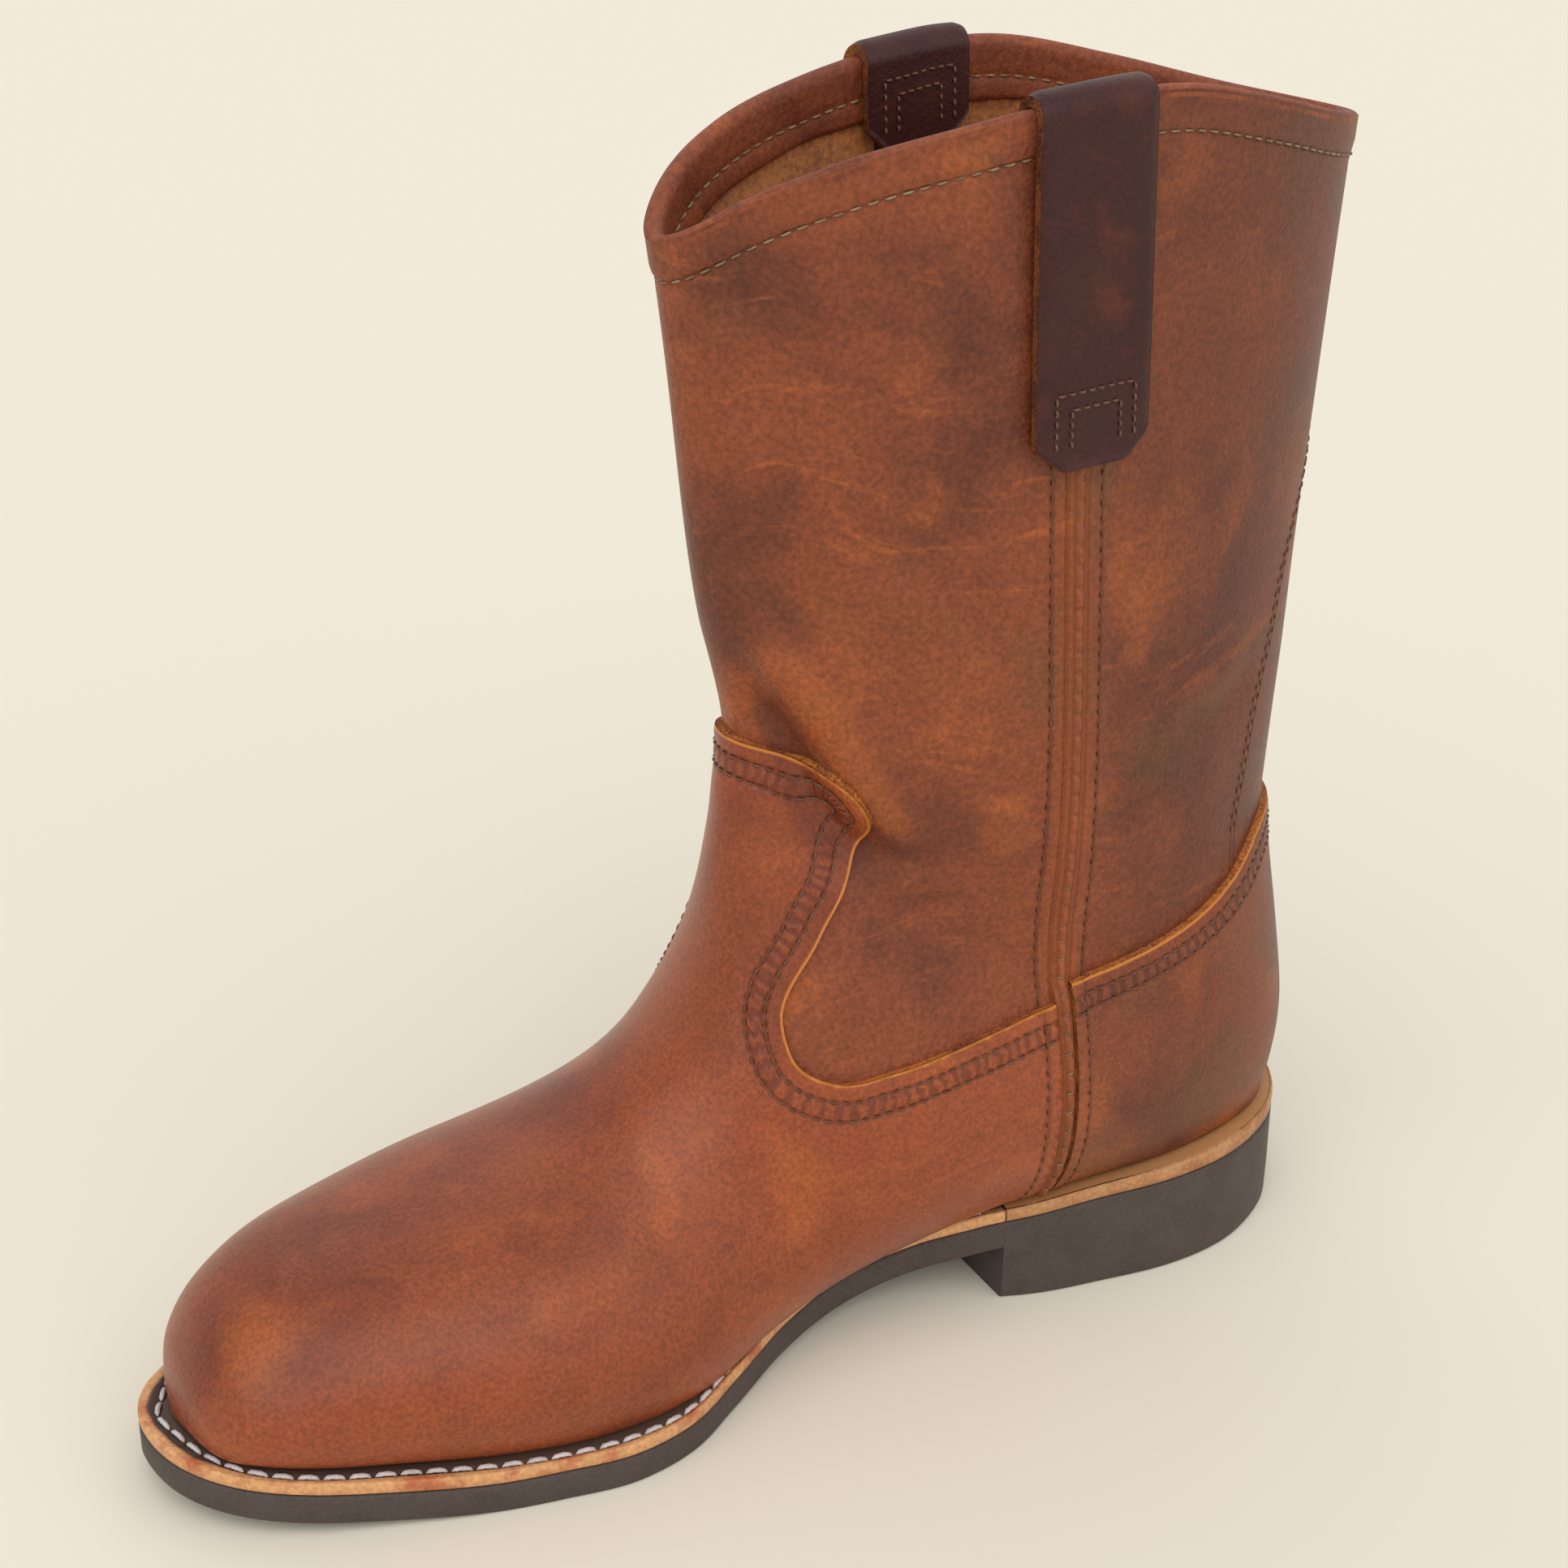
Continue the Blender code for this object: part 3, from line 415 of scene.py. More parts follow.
@lru_cache(maxsize=None)
def last_grid():
    """Table and faces of the fine outer face of the upper with its creases, and its grid of numbers."""
    numbers = fine_numbers()
    count = 112
    turns = np.linspace(-1, 1, 2 * count + 1)
    grid = skin(numbers[:, None], turns[None, :])
    weight = (ease(2.5, 4.5, numbers) * ease(0.0, 0.8, LAST_SECTION - numbers))[:, None, None]
    for _ in range(10):
        eased = grid.copy()
        eased[1:-1] = (grid[:-2] + 2 * grid[1:-1] + grid[2:]) / 4
        grid = grid + weight * (eased - grid)
    ends = (numbers < CLOSED_SECTION)
    for j in (0, -1):
        grid[ends, j, 2] = seat(grid[ends, j, 0])
    index = np.arange(grid.shape[0] * grid.shape[1]).reshape(grid.shape[:2])
    index[0, :] = index[0, 0]
    closed = numbers >= CLOSED_SECTION
    index[closed, -1] = index[closed, 0]
    faces = quads(index)
    flat = grid.reshape(-1, 3)
    raw = normals(flat, faces)
    if raw[index[-20, count]][0] < 0:
        faces = faces[:, ::-1]
        raw = -raw
    raw = raw[index.reshape(-1)]
    down = np.clip((flat[:, 2] - seat(flat[:, 0])) / LEVEL_HEIGHT, 0.0, 1.0)
    raw[:, 2] *= down
    out = unit(raw)
    fold = fold_heights(flat) * down
    places = flat + out * fold[:, None]
    again = normals(places, faces)[index.reshape(-1)]
    again[:, 2] *= down
    out = unit(again)
    table = np.zeros((len(flat), WIDTH_OF_TABLE))
    table[:, PLACE] = places
    table[:, OUT] = out
    share = share_of(places[:, 0], places[:, 2])
    seam = places[:, 0] - world_x(smooth(SEAM_LINE[:, 1 - 1], SEAM_LINE[:, 1], share))
    table[:, SEAM] = seam
    table[:, FOLD] = fold
    grid = places.reshape(grid.shape)
    steps = np.linalg.norm(np.diff(grid, axis=0), axis=2)
    from_top = np.concatenate((np.cumsum(steps[::-1], axis=0)[::-1], np.zeros((1, grid.shape[1]))))
    table[:, TOP] = from_top.reshape(-1)
    steps = np.linalg.norm(np.diff(grid, axis=1), axis=2)
    outer = np.concatenate((np.zeros((len(numbers), 1)), np.cumsum(steps, axis=1)), axis=1)
    inner = outer[:, -1:] - outer
    back = np.minimum(outer, inner)
    stay = smooth(STAY_LINE[:, 0], STAY_LINE[:, 1], share).reshape(back.shape)
    table[:, STAY] = (back - stay).reshape(-1)
    table[:, EDGE] = 1.0
    return table, faces, index, numbers, turns


def offset(table, distance):
    """The same points moved outward, on the seat along the feather edge."""
    made = table.copy()
    made[:, PLACE] += made[:, OUT] * np.asarray(distance).reshape(-1, 1)
    low = table[:, 2] - seat(table[:, 0]) < 0.00002
    made[low, 2] = seat(made[low, 0])
    return made


def trim(table, faces, field):
    """Faces where a field is positive, cut along its zero line, and the pairs of points on that line."""
    inside = (field > 0).tolist()
    kept, pairs, added, made = [], [], [], {}

    def crossing(a, b):
        """Number of the point where the zero line crosses an edge."""
        key = (a, b) if a < b else (b, a)
        if key not in made:
            a, b = key
            t = field[a] / (field[a] - field[b])
            made[key] = len(table) + len(added)
            added.append(table[a] + t * (table[b] - table[a]))
        return made[key]

    for face in faces:
        flags = [inside[c] for c in face]
        if all(flags):
            kept.append(face)
        elif any(flags):
            corners, ends = [], []
            for i, a in enumerate(face):
                b = face[(i + 1) % len(face)]
                if flags[i]:
                    corners.append(a)
                if flags[i] != flags[(i + 1) % len(face)]:
                    point = crossing(a, b)
                    corners.append(point)
                    ends.append(point)
            if len(corners) > 2:
                kept.append(corners)
            if len(ends) == 2:
                pairs.append(tuple(ends))
    if added:
        table = np.vstack((table, np.array(added)))
    return table, kept, pairs


def chains(pairs):
    """Rows of points from pairs that share ends."""
    near = {}
    for a, b in pairs:
        if a != b:
            near.setdefault(a, []).append(b)
            near.setdefault(b, []).append(a)
    rows = []
    while near:
        start = next((p for p, links in near.items() if len(links) == 1), next(iter(near)))
        row = [start]
        while near.get(row[-1]):
            here = row[-1]
            step = near[here].pop()
            near[step].remove(here)
            if not near[here]:
                near.pop(here)
            row.append(step)
        near.pop(row[-1], None)
        near = {p: links for p, links in near.items() if links}
        rows.append(row)
    return rows


def level_rows(table, faces, values, level, shortest=0.02):
    """Rows of table entries where a measure has one value, each longer than the shortest length."""
    cut_table, _, pairs = trim(table, faces, values - level)
    rows = []
    for row in chains(pairs):
        points = cut_table[row]
        if np.linalg.norm(np.diff(points[:, PLACE], axis=0), axis=1).sum() > shortest:
            rows.append(points)
    return rows


def walk(points, pitch, start=0.0):
    """Table entries at even steps along a row of them, each with its run."""
    run = np.concatenate(([0], np.cumsum(np.linalg.norm(np.diff(points[:, PLACE], axis=0), axis=1))))
    places = np.arange(start, run[-1], pitch)
    return np.stack([np.interp(places, run, points[:, k]) for k in range(points.shape[1])], -1)


# Objects


def add_piece(name, places, faces, materials, nodes=(), picks=None, measures=None):
    """A piece of the boot from points and faces: its finish by face, its measures by point in mm."""
    mesh = bpy.data.meshes.new(name)
    used = np.zeros(len(places), bool)
    for face in faces:
        used[list(face)] = True
    renumber = np.cumsum(used) - 1
    mesh.from_pydata(places[used][:, :3].tolist(), [], [renumber[list(f)].tolist() for f in faces])
    mesh.shade_smooth()
    for made in materials:
        mesh.materials.append(made)
    if picks is not None:
        mesh.polygons.foreach_set("material_index", picks)
    for key, values in (measures or {}).items():
        layer = mesh.attributes.new(key, "FLOAT", "POINT")
        layer.data.foreach_set("value", np.ascontiguousarray(values[used], dtype=np.float32))
    piece = bpy.data.objects.new(name, mesh)
    bpy.context.scene.collection.objects.link(piece)
    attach(piece, "root")
    if nodes:
        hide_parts(*nodes)
    return piece


def tubes(rows, radius, sides=6, lobes=0, twist=0.0, flat=1.0):
    """Points and faces of short threads, each along its own row of (place, outward) points."""
    angles = np.linspace(0, 2 * math.pi, sides, endpoint=False)
    places, faces, count = [], [], 0
    for points, out in rows:
        steps = len(points)
        way = unit(np.gradient(points, axis=0))
        up = unit(out - (out * way).sum(1, keepdims=True) * way)
        across = np.cross(way, up)
        run = np.linspace(-1, 1, steps)
        size = radius * np.sqrt(np.clip(1 - np.abs(run) ** 3.2, 0.03, 1))
        turn = angles[None, :] + twist * run[:, None]
        lobe = 1 + (0.16 * np.cos(lobes * turn) if lobes else 0 * turn)
        ring = size[:, None] * lobe
        circle = (across[:, None] * (ring * np.cos(angles))[..., None]
                  + up[:, None] * (ring * flat * np.sin(angles))[..., None])
        places.append((points[:, None] + circle).reshape(-1, 3))
        index = count + np.arange(steps * sides).reshape(steps, sides)
        closed = np.concatenate((index, index[:, :1]), axis=1)
        faces.extend(quads(closed).tolist())
        faces.append(index[0][::-1].tolist())
        faces.append(index[-1].tolist())
        count += steps * sides
    return np.vstack(places), faces


def stitches(points, pitch, length, height, depth, steps=5, sag=0.6):
    """Paths of single stitches on a row of table entries: each dips into its holes at both ends."""
    entries = walk(points, pitch / 12)
    made = []
    per = 12
    reach = max(int(round(per * length / pitch)), 4)
    for start in range(0, len(entries) - per, per):
        part = entries[start:start + reach + 1]
        pick = part[np.linspace(0, len(part) - 1, steps).round().astype(int)]
        arc = 1 - np.abs(np.linspace(-1, 1, steps)) ** 2.5
        up = height * arc - depth * (1 - arc) * sag
        made.append((pick[:, PLACE] + pick[:, OUT] * up[:, None], pick[:, OUT]))
    return made


# Finishes


def leather(name, tones, patch, grain, height, rough, coat=0.06, streaks=0.5, depth=0.85, back_shade=0.0, cut=None,
            rows=()):
    """Full-grain leather: cloudy tones, pebbled grain, warm streaks where oil has moved, sunk thread rows, painted
    shade in crease troughs.

    tones are mid, dark, warm and olive; patch and grain are sizes in metres, height is the grain's in mm,
    depth is how dark the clouds go, back_shade how much painted shade darkens the leather behind the seam, cut a raw
    edge;
    rows are (measure, levels in mm, half width in mm) of sewn lines and grooves, each darkened by a painted shadow.
    """
    made = bpy.data.materials.new(name)
    made.use_nodes = True
    tree = made.node_tree
    shader = tree.nodes["Principled BSDF"]
    mid, dark, warm, olive = [(*tone, 1.0) for tone in tones]
    where = put(tree, "TexCoord", out=3)
    drift = put(tree, "TexNoise", {"Vector": where, "Scale": 0.6 / patch, "Detail": 2.0}, out=1)
    bent = put(tree, "VectorMath", {0: drift, 1: (patch * 0.9,) * 3}, operation="MULTIPLY")
    moved = put(tree, "VectorMath", {0: where, 1: bent}, operation="ADD")
    clouds = put(tree, "TexNoise", {"Vector": moved, "Scale": 1 / patch, "Detail": 5.0, "Roughness": 0.58})
    shade = put(tree, "MapRange", {0: clouds, 1: 0.40, 2: 0.72, 4: depth}, interpolation_type="SMOOTHSTEP")
    colour = put(tree, "Mix", {0: shade, 6: mid, 7: dark}, out=2, data_type="RGBA")
    glow = put(tree, "TexNoise", {"Vector": moved, "Scale": 1.7 / patch, "Detail": 4.0, "W": 3.0},
               noise_dimensions="4D")
    shine = put(tree, "MapRange", {0: glow, 1: 0.52, 2: 0.74, 4: 0.60}, interpolation_type="SMOOTHSTEP")
    colour = put(tree, "Mix", {0: shine, 6: colour, 7: warm}, out=2, data_type="RGBA")
    green = put(tree, "TexNoise", {"Vector": moved, "Scale": 1.2 / patch, "Detail": 3.0, "W": 9.0},
                noise_dimensions="4D")
    tint = put(tree, "MapRange", {0: green, 1: 0.50, 2: 0.68, 4: 0.55}, interpolation_type="SMOOTHSTEP")
    colour = put(tree, "Mix", {0: tint, 6: colour, 7: olive}, out=2, data_type="RGBA")
    lain = put(tree, "Mapping", {"Vector": moved, "Rotation": (0.2, 0.65, 0.3), "Scale": (1.0, 1.0, 7.0)})
    lines = put(tree, "TexNoise", {"Vector": lain, "Scale": 0.9 / patch, "Detail": 8.0, "Roughness": 0.72})
    streak = put(tree, "MapRange", {0: lines, 1: 0.56, 2: 0.68, 4: streaks}, interpolation_type="SMOOTHSTEP")
    colour = put(tree, "Mix", {0: streak, 6: colour, 7: warm}, out=2, data_type="RGBA")
    # Painted shade: the leather darkens behind the seam, towards the back of the boot, by back_shade
    spot = put(tree, "SeparateXYZ", {0: where})
    behind = put(tree, "MapRange", {0: spot, 1: 0.055, 2: 0.005, 4: back_shade}, interpolation_type="SMOOTHSTEP")
    colour = put(tree, "Mix", {0: behind, 6: colour, 7: dark}, out=2, data_type="RGBA")
    rim_line = put(tree, "Attribute", attribute_name="edge", out=2)
    raw = put(tree, "MapRange", {0: rim_line, 1: 0.85, 2: 0.45})
    fold = put(tree, "Attribute", attribute_name="fold", out=2)
    pulled = put(tree, "MapRange", {0: fold, 1: 0.35, 2: 1.8, 4: 0.42}, interpolation_type="SMOOTHSTEP")
    colour = put(tree, "Mix", {0: pulled, 6: colour, 7: warm}, out=2, data_type="RGBA")
    # Painted shade: darker in the creases' troughs, where the fold measure is negative
    sunk = put(tree, "MapRange", {0: fold, 1: -0.4, 2: -2.4, 4: 0.55}, interpolation_type="SMOOTHSTEP")
    colour = put(tree, "Mix", {0: sunk, 6: colour, 7: dark}, out=2, data_type="RGBA")
    pebble = put(tree, "TexVoronoi", {"Vector": where, "Scale": 1 / grain, "Randomness": 1.0})
    pores = put(tree, "TexNoise", {"Vector": where, "Scale": 0.7 / grain, "Detail": 3.0, "Roughness": 0.6})
    fleck = put(tree, "MapRange", {0: pores, 1: 0.35, 2: 0.68, 3: 0.74, 4: 1.20})
    colour = put(tree, "VectorMath", {0: colour, 1: fleck}, operation="MULTIPLY")
    bump = put(tree, "Math", {0: pebble, 1: -height}, operation="MULTIPLY")
    bump = put(tree, "Math", {0: pores, 1: height * 1.6, 2: bump}, operation="MULTIPLY_ADD")
    bump = put(tree, "Math", {0: lines, 1: height * 0.9, 2: bump}, operation="MULTIPLY_ADD")
    for measure, levels, half in rows:
        line = put(tree, "Attribute", attribute_name=measure, out=2)
        if measure == "seam":
            line = put(tree, "Math", {0: line}, operation="ABSOLUTE")
        row_shadowed = None
        for level in levels:
            off = put(tree, "Math", {0: line, 1: level}, operation="SUBTRACT")
            off = put(tree, "Math", {0: off}, operation="ABSOLUTE")
            sink = put(tree, "MapRange", {0: off, 1: half * 2.2, 2: 0.0}, interpolation_type="SMOOTHSTEP")
            bump = put(tree, "Math", {0: sink, 1: -0.30, 2: bump}, operation="MULTIPLY_ADD")
            # Painted shadow: the leather darkens along each row's groove
            row_shadow = put(tree, "MapRange", {0: off, 1: half * 1.6, 2: 0.0, 4: 0.55}, interpolation_type="SMOOTHSTEP")
            colour = put(tree, "Mix", {0: row_shadow, 6: colour, 7: dark}, out=2, data_type="RGBA")
        if measure == "seam":
            band = put(tree, "MapRange", {0: line, 1: 5.8, 2: 2.0, 4: 0.24}, interpolation_type="SMOOTHSTEP")
            colour = put(tree, "Mix", {0: band, 6: colour, 7: warm}, out=2, data_type="RGBA")
        if measure == "edge":
            run = put(tree, "Attribute", attribute_name="run", out=2)
            turns = put(tree, "Math", {0: run, 1: 2 * math.pi * MM / looks()[0].stitch}, operation="MULTIPLY")
            wave = put(tree, "Math", {0: turns}, operation="SINE")
            near = put(tree, "Math", {0: line, 1: sum(levels) / 2}, operation="SUBTRACT")
            near = put(tree, "Math", {0: near}, operation="ABSOLUTE")
            between = put(tree, "MapRange", {0: near, 1: 2.5, 2: 1.5}, interpolation_type="SMOOTHSTEP")
            quilt = put(tree, "Math", {0: wave, 1: between}, operation="MULTIPLY")
            bump = put(tree, "Math", {0: quilt, 1: 0.16, 2: bump}, operation="MULTIPLY_ADD")
            # Painted shade: darker in the quilting's hollows between the stitches
            quilt_shade = put(tree, "MapRange", {0: quilt, 1: 0.3, 2: -0.7, 4: 0.62}, interpolation_type="SMOOTHSTEP")
            between = put(tree, "Math", {0: quilt_shade, 1: between}, operation="MULTIPLY")
            colour = put(tree, "Mix", {0: between, 6: colour, 7: dark}, out=2, data_type="RGBA")
    if cut:
        colour = put(tree, "Mix", {0: raw, 6: colour, 7: (*cut, 1.0)}, out=2, data_type="RGBA")
    tree.links.new(colour, shader.inputs["Base Color"])
    rub = put(tree, "MapRange", {0: clouds, 1: 0.3, 2: 0.7, 3: rough + 0.07, 4: rough - 0.05})
    tree.links.new(rub, shader.inputs["Roughness"])
    relief = put(tree, "Bump", {"Height": bump, "Distance": MM, "Strength": 1.0})
    tree.links.new(relief, shader.inputs["Normal"])
    shader.inputs["IOR"].default_value = 1.48
    shader.inputs["Specular IOR Level"].default_value = 0.32
    shader.inputs["Coat Weight"].default_value = coat
    shader.inputs["Coat Roughness"].default_value = 0.35
    return made


def fibres(name, light, dark, size, height, rough, sheen=0.0):
    """Matt fibrous or grained solid: two tones mixed by a fine grain of one size in metres."""
    made = bpy.data.materials.new(name)
    made.use_nodes = True
    tree = made.node_tree
    shader = tree.nodes["Principled BSDF"]
    where = put(tree, "TexCoord", out=3)
    grain = put(tree, "TexNoise", {"Vector": where, "Scale": 1 / size, "Detail": 6.0, "Roughness": 0.65})
    broad = put(tree, "TexNoise", {"Vector": where, "Scale": 0.09 / size, "Detail": 3.0})
    both = put(tree, "Math", {0: broad, 1: 0.6, 2: grain}, operation="MULTIPLY_ADD")
    share = put(tree, "MapRange", {0: both, 1: 0.62, 2: 1.0}, interpolation_type="SMOOTHSTEP")
    colour = put(tree, "Mix", {0: share, 6: (*light, 1.0), 7: (*dark, 1.0)}, out=2, data_type="RGBA")
    tree.links.new(colour, shader.inputs["Base Color"])
    relief = put(tree, "Bump", {"Height": grain, "Distance": height * MM, "Strength": 1.0})
    tree.links.new(relief, shader.inputs["Normal"])
    shader.inputs["Roughness"].default_value = rough
    shader.inputs["Sheen Weight"].default_value = sheen
    shader.inputs["Sheen Roughness"].default_value = 0.6
    return made


def looks():
    """The sizes and colours set on the scene."""
    return bpy.context.scene.boot_sizes, bpy.context.scene.boot_colours


@lru_cache(maxsize=None)
def finish(name):
    """A finish of the boot by name, made once."""
    sizes, tint = looks()
    tone = {key: tuple(getattr(tint, key)) for key in tint.bl_rna.properties.keys()
            if key not in ("rna_type", "name")}
    if name == "shaft":
        # Oiled pull-up cowhide, dry drummed: cloudy brown with warm marks and a pebbled grain
        # Its seam lines at 1.1 and 2.6 mm carry no thread: they are painted shadow in the seam cord's grooves and at
        # its foot
        return leather("pull-up cowhide, drummed", (tone["mid"], tone["dark"], tone["warm"], tone["olive"]),
                       0.042, sizes.grain, 0.11, 0.45, depth=0.72, back_shade=0.45, rows=(("seam", (1.1, 2.6, 6.2), 0.38), ("top", (8.5,), 0.40),
                                                             ("stay", (0.0, 2.2), 0.35)))
    if name == "foot":
        # The same hide lasted tight over the foot: smoother, redder and glossier
        return leather("pull-up cowhide, lasted", (tone["foot"], tone["foot_dark"], tone["warm"], tone["mid"]),
                       0.052, sizes.grain * 0.8, 0.060, 0.34, coat=0.16, streaks=0.22, depth=0.72,
                       cut=tone["cut"], rows=(("edge", (4.2, 8.8), 0.45), ("seam", (6.2,), 0.45)))
    if name == "heel":
        # The same hide on the counter: cloudy as the shaft, smooth as the foot
        return leather("pull-up cowhide, counter", (tone["mid"], tone["dark"], tone["warm"], tone["olive"]),
                       0.045, sizes.grain * 0.8, 0.070, 0.44, streaks=0.30, back_shade=0.15,
                       cut=tone["cut"], rows=(("edge", (4.2, 8.8), 0.45), ("seam", (6.2,), 0.45)))
    if name == "strap":
        # Dark waxed strap leather: smooth, slightly glossy, rubbed warm in patches and streaks
        return leather("waxed strap leather", (tone["strap"], tone["strap"], tone["foot_dark"], tone["dark"]),
                       0.030, sizes.grain * 0.8, 0.060, 0.45, streaks=0.30)
    if name == "lining":
        # Smooth turned-over lining leather: brown, a little dull
        return leather("turned cowhide", (tone["mid"], tone["foot_dark"], tone["warm"], tone["mid"]),
                       0.030, sizes.grain, 0.08, 0.50, streaks=0.45)
    if name == "cut":
        # Raw cut edge of the hide: bright tan fibres
        return fibres("cowhide, raw cut edge", tone["cut"], tone["foot_dark"], 0.0007, 0.35, 0.85)
    if name == "suede":
        # Flesh side of the hide: ochre nap with loose fibres
        return fibres("cowhide, flesh side", tone["suede"], tone["suede_dark"], 0.0016, 0.9, 0.95, 0.25)
    if name == "rubber":
        # Moulded nitrile rubber: dark brown, matt, finely sanded
        return fibres("sanded nitrile rubber", tone["rubber"], tone["rubber_dark"], 0.0009, 0.10, 0.62)
    if name == "insole":
        # Vegetable-tanned insole board: light tan, matt
        return fibres("vegetable-tanned insole", tone["suede"], tone["suede_dark"], 0.0012, 0.10, 0.80)
    if name == "thread":
        # Waxed polyester thread, olive brown: a dull gleam on top
        return fibres("waxed brown thread", tone["thread"], tone["foot_dark"], 0.0004, 0.10, 0.50)
    if name == "pale_thread":
        # Waxed polyester thread of the collar, greyer than the rest
        return fibres("waxed olive thread", tone["collar_thread"], tone["thread"], 0.0004, 0.10, 0.50)
    if name == "welt_thread":
        # Heavy waxed white thread: off-white with a lilac cast
        return fibres("heavy waxed thread", tone["welt_thread"], tone["lilac"], 0.0004, 0.08, 0.42)
    # Woven cotton tape along the inside of the side seam: dark olive, matt
    return fibres("woven cotton tape", tone["tape"], tone["rubber_dark"], 0.0006, 0.30, 0.90)


def strip_leather(name, edge, top, red):
    """Vegetable-tanned strip: light cut edge with red burnished patches, dark waxed top."""
    made = bpy.data.materials.new(name)
    made.use_nodes = True
    tree = made.node_tree
    shader = tree.nodes["Principled BSDF"]
    where = put(tree, "TexCoord", out=3)
    across = put(tree, "Attribute", attribute_name="edge", out=2)
    rough = put(tree, "TexNoise", {"Vector": where, "Scale": 900.0, "Detail": 5.0})
    patch = put(tree, "TexNoise", {"Vector": where, "Scale": 110.0, "Detail": 4.0})
    wobble = put(tree, "Math", {0: patch, 1: 1.6, 2: across}, operation="MULTIPLY_ADD")
    stain = put(tree, "MapRange", {0: patch, 1: 0.45, 2: 0.68, 4: 0.85}, interpolation_type="SMOOTHSTEP")
    colour = put(tree, "Mix", {0: stain, 6: (*edge, 1.0), 7: (*red, 1.0)}, out=2, data_type="RGBA")
    speck = put(tree, "MapRange", {0: rough, 1: 0.35, 2: 0.65, 3: 0.80, 4: 1.12})
    colour = put(tree, "VectorMath", {0: colour, 1: speck}, operation="MULTIPLY")
    inside = put(tree, "MapRange", {0: wobble, 1: 5.6, 2: 6.6}, interpolation_type="SMOOTHSTEP")
    colour = put(tree, "Mix", {0: inside, 6: colour, 7: (*top, 1.0)}, out=2, data_type="RGBA")
    tree.links.new(colour, shader.inputs["Base Color"])
    relief = put(tree, "Bump", {"Height": rough, "Distance": 0.12 * MM, "Strength": 1.0})
    tree.links.new(relief, shader.inputs["Normal"])
    shader.inputs["Roughness"].default_value = 0.52
    shader.inputs["Coat Weight"].default_value = 0.10
    return made


# Pieces of the upper


def collar_bulge(table):
    """How far the turned collar and the seam's allowances lift the shaft, in metres."""
    turned = (1 - ease(0.0070, 0.0086, table[:, TOP])) * 0.0007
    band = (1 - ease(0.0058, 0.0072, np.abs(table[:, SEAM]))) * 0.0006
    pucker = np.exp(-((table[:, TOP] - COLLAR_ROW) / 0.0011) ** 2) * 0.0003
    return turned + band * ease(0.002, 0.01, table[:, 2] - seat(table[:, 0])) - pucker


@lru_cache(maxsize=None)
def shaft_skin():
    """Table of the shaft's outer face with collar and seam bands."""
    table, faces, index, numbers, turns = last_grid()
    return offset(table, collar_bulge(table)), faces, index


def measures_of(table):
    """Measures for the finishes, in mm."""
    names = {"seam": SEAM, "top": TOP, "stay": STAY, "edge": EDGE, "fold": FOLD, "run": RUN}
    return {name: table[:, column] / MM for name, column in names.items()}


def make_upper():
    """Shaft and foot: outer face, suede inside, sewn rows."""
    table, faces, index = shaft_skin()
    add_piece("upper_outside", table, tidy(faces), [finish("shaft")], ("upper",),
              measures=measures_of(table))
    inside = offset(last_grid()[0], -WALL)
    sparse = index[::2, ::2]
    if (index.shape[0] - 1) % 2:
        sparse = np.vstack((sparse, index[-1:, ::2]))
    add_piece("upper_inside", inside, tidy(quads(sparse)), [finish("suede")],
              measures=measures_of(inside))


def overlay_base():
    """Table and faces of the overlays' outer face."""
    table, faces, index, numbers, turns = last_grid()
    band = (1 - ease(0.0058, 0.0072, np.abs(table[:, SEAM]))) * 0.0004
    return offset(table, OVERLAY + GAP + band), tidy(faces[: (index.shape[0] - 1) * (index.shape[1] - 1)])


def side_polygon_field(table, edge, far):
    """Signed distance in the side view, positive inside the outline that an edge and far points close."""
    points = table[:, (0, 2)]
    signed, _ = polyline_distance(points, edge)
    outline = np.vstack((edge, far))
    inside = np.zeros(len(points), bool)
    for a, b in zip(outline, np.roll(outline, -1, axis=0)):
        between = (a[1] > points[:, 1]) != (b[1] > points[:, 1])
        with np.errstate(divide="ignore", invalid="ignore"):
            x = (b[0] - a[0]) * (points[:, 1] - a[1]) / (b[1] - a[1]) + a[0]
        inside ^= between & (points[:, 0] < x)
    return np.where(inside, np.abs(signed), -np.abs(signed))


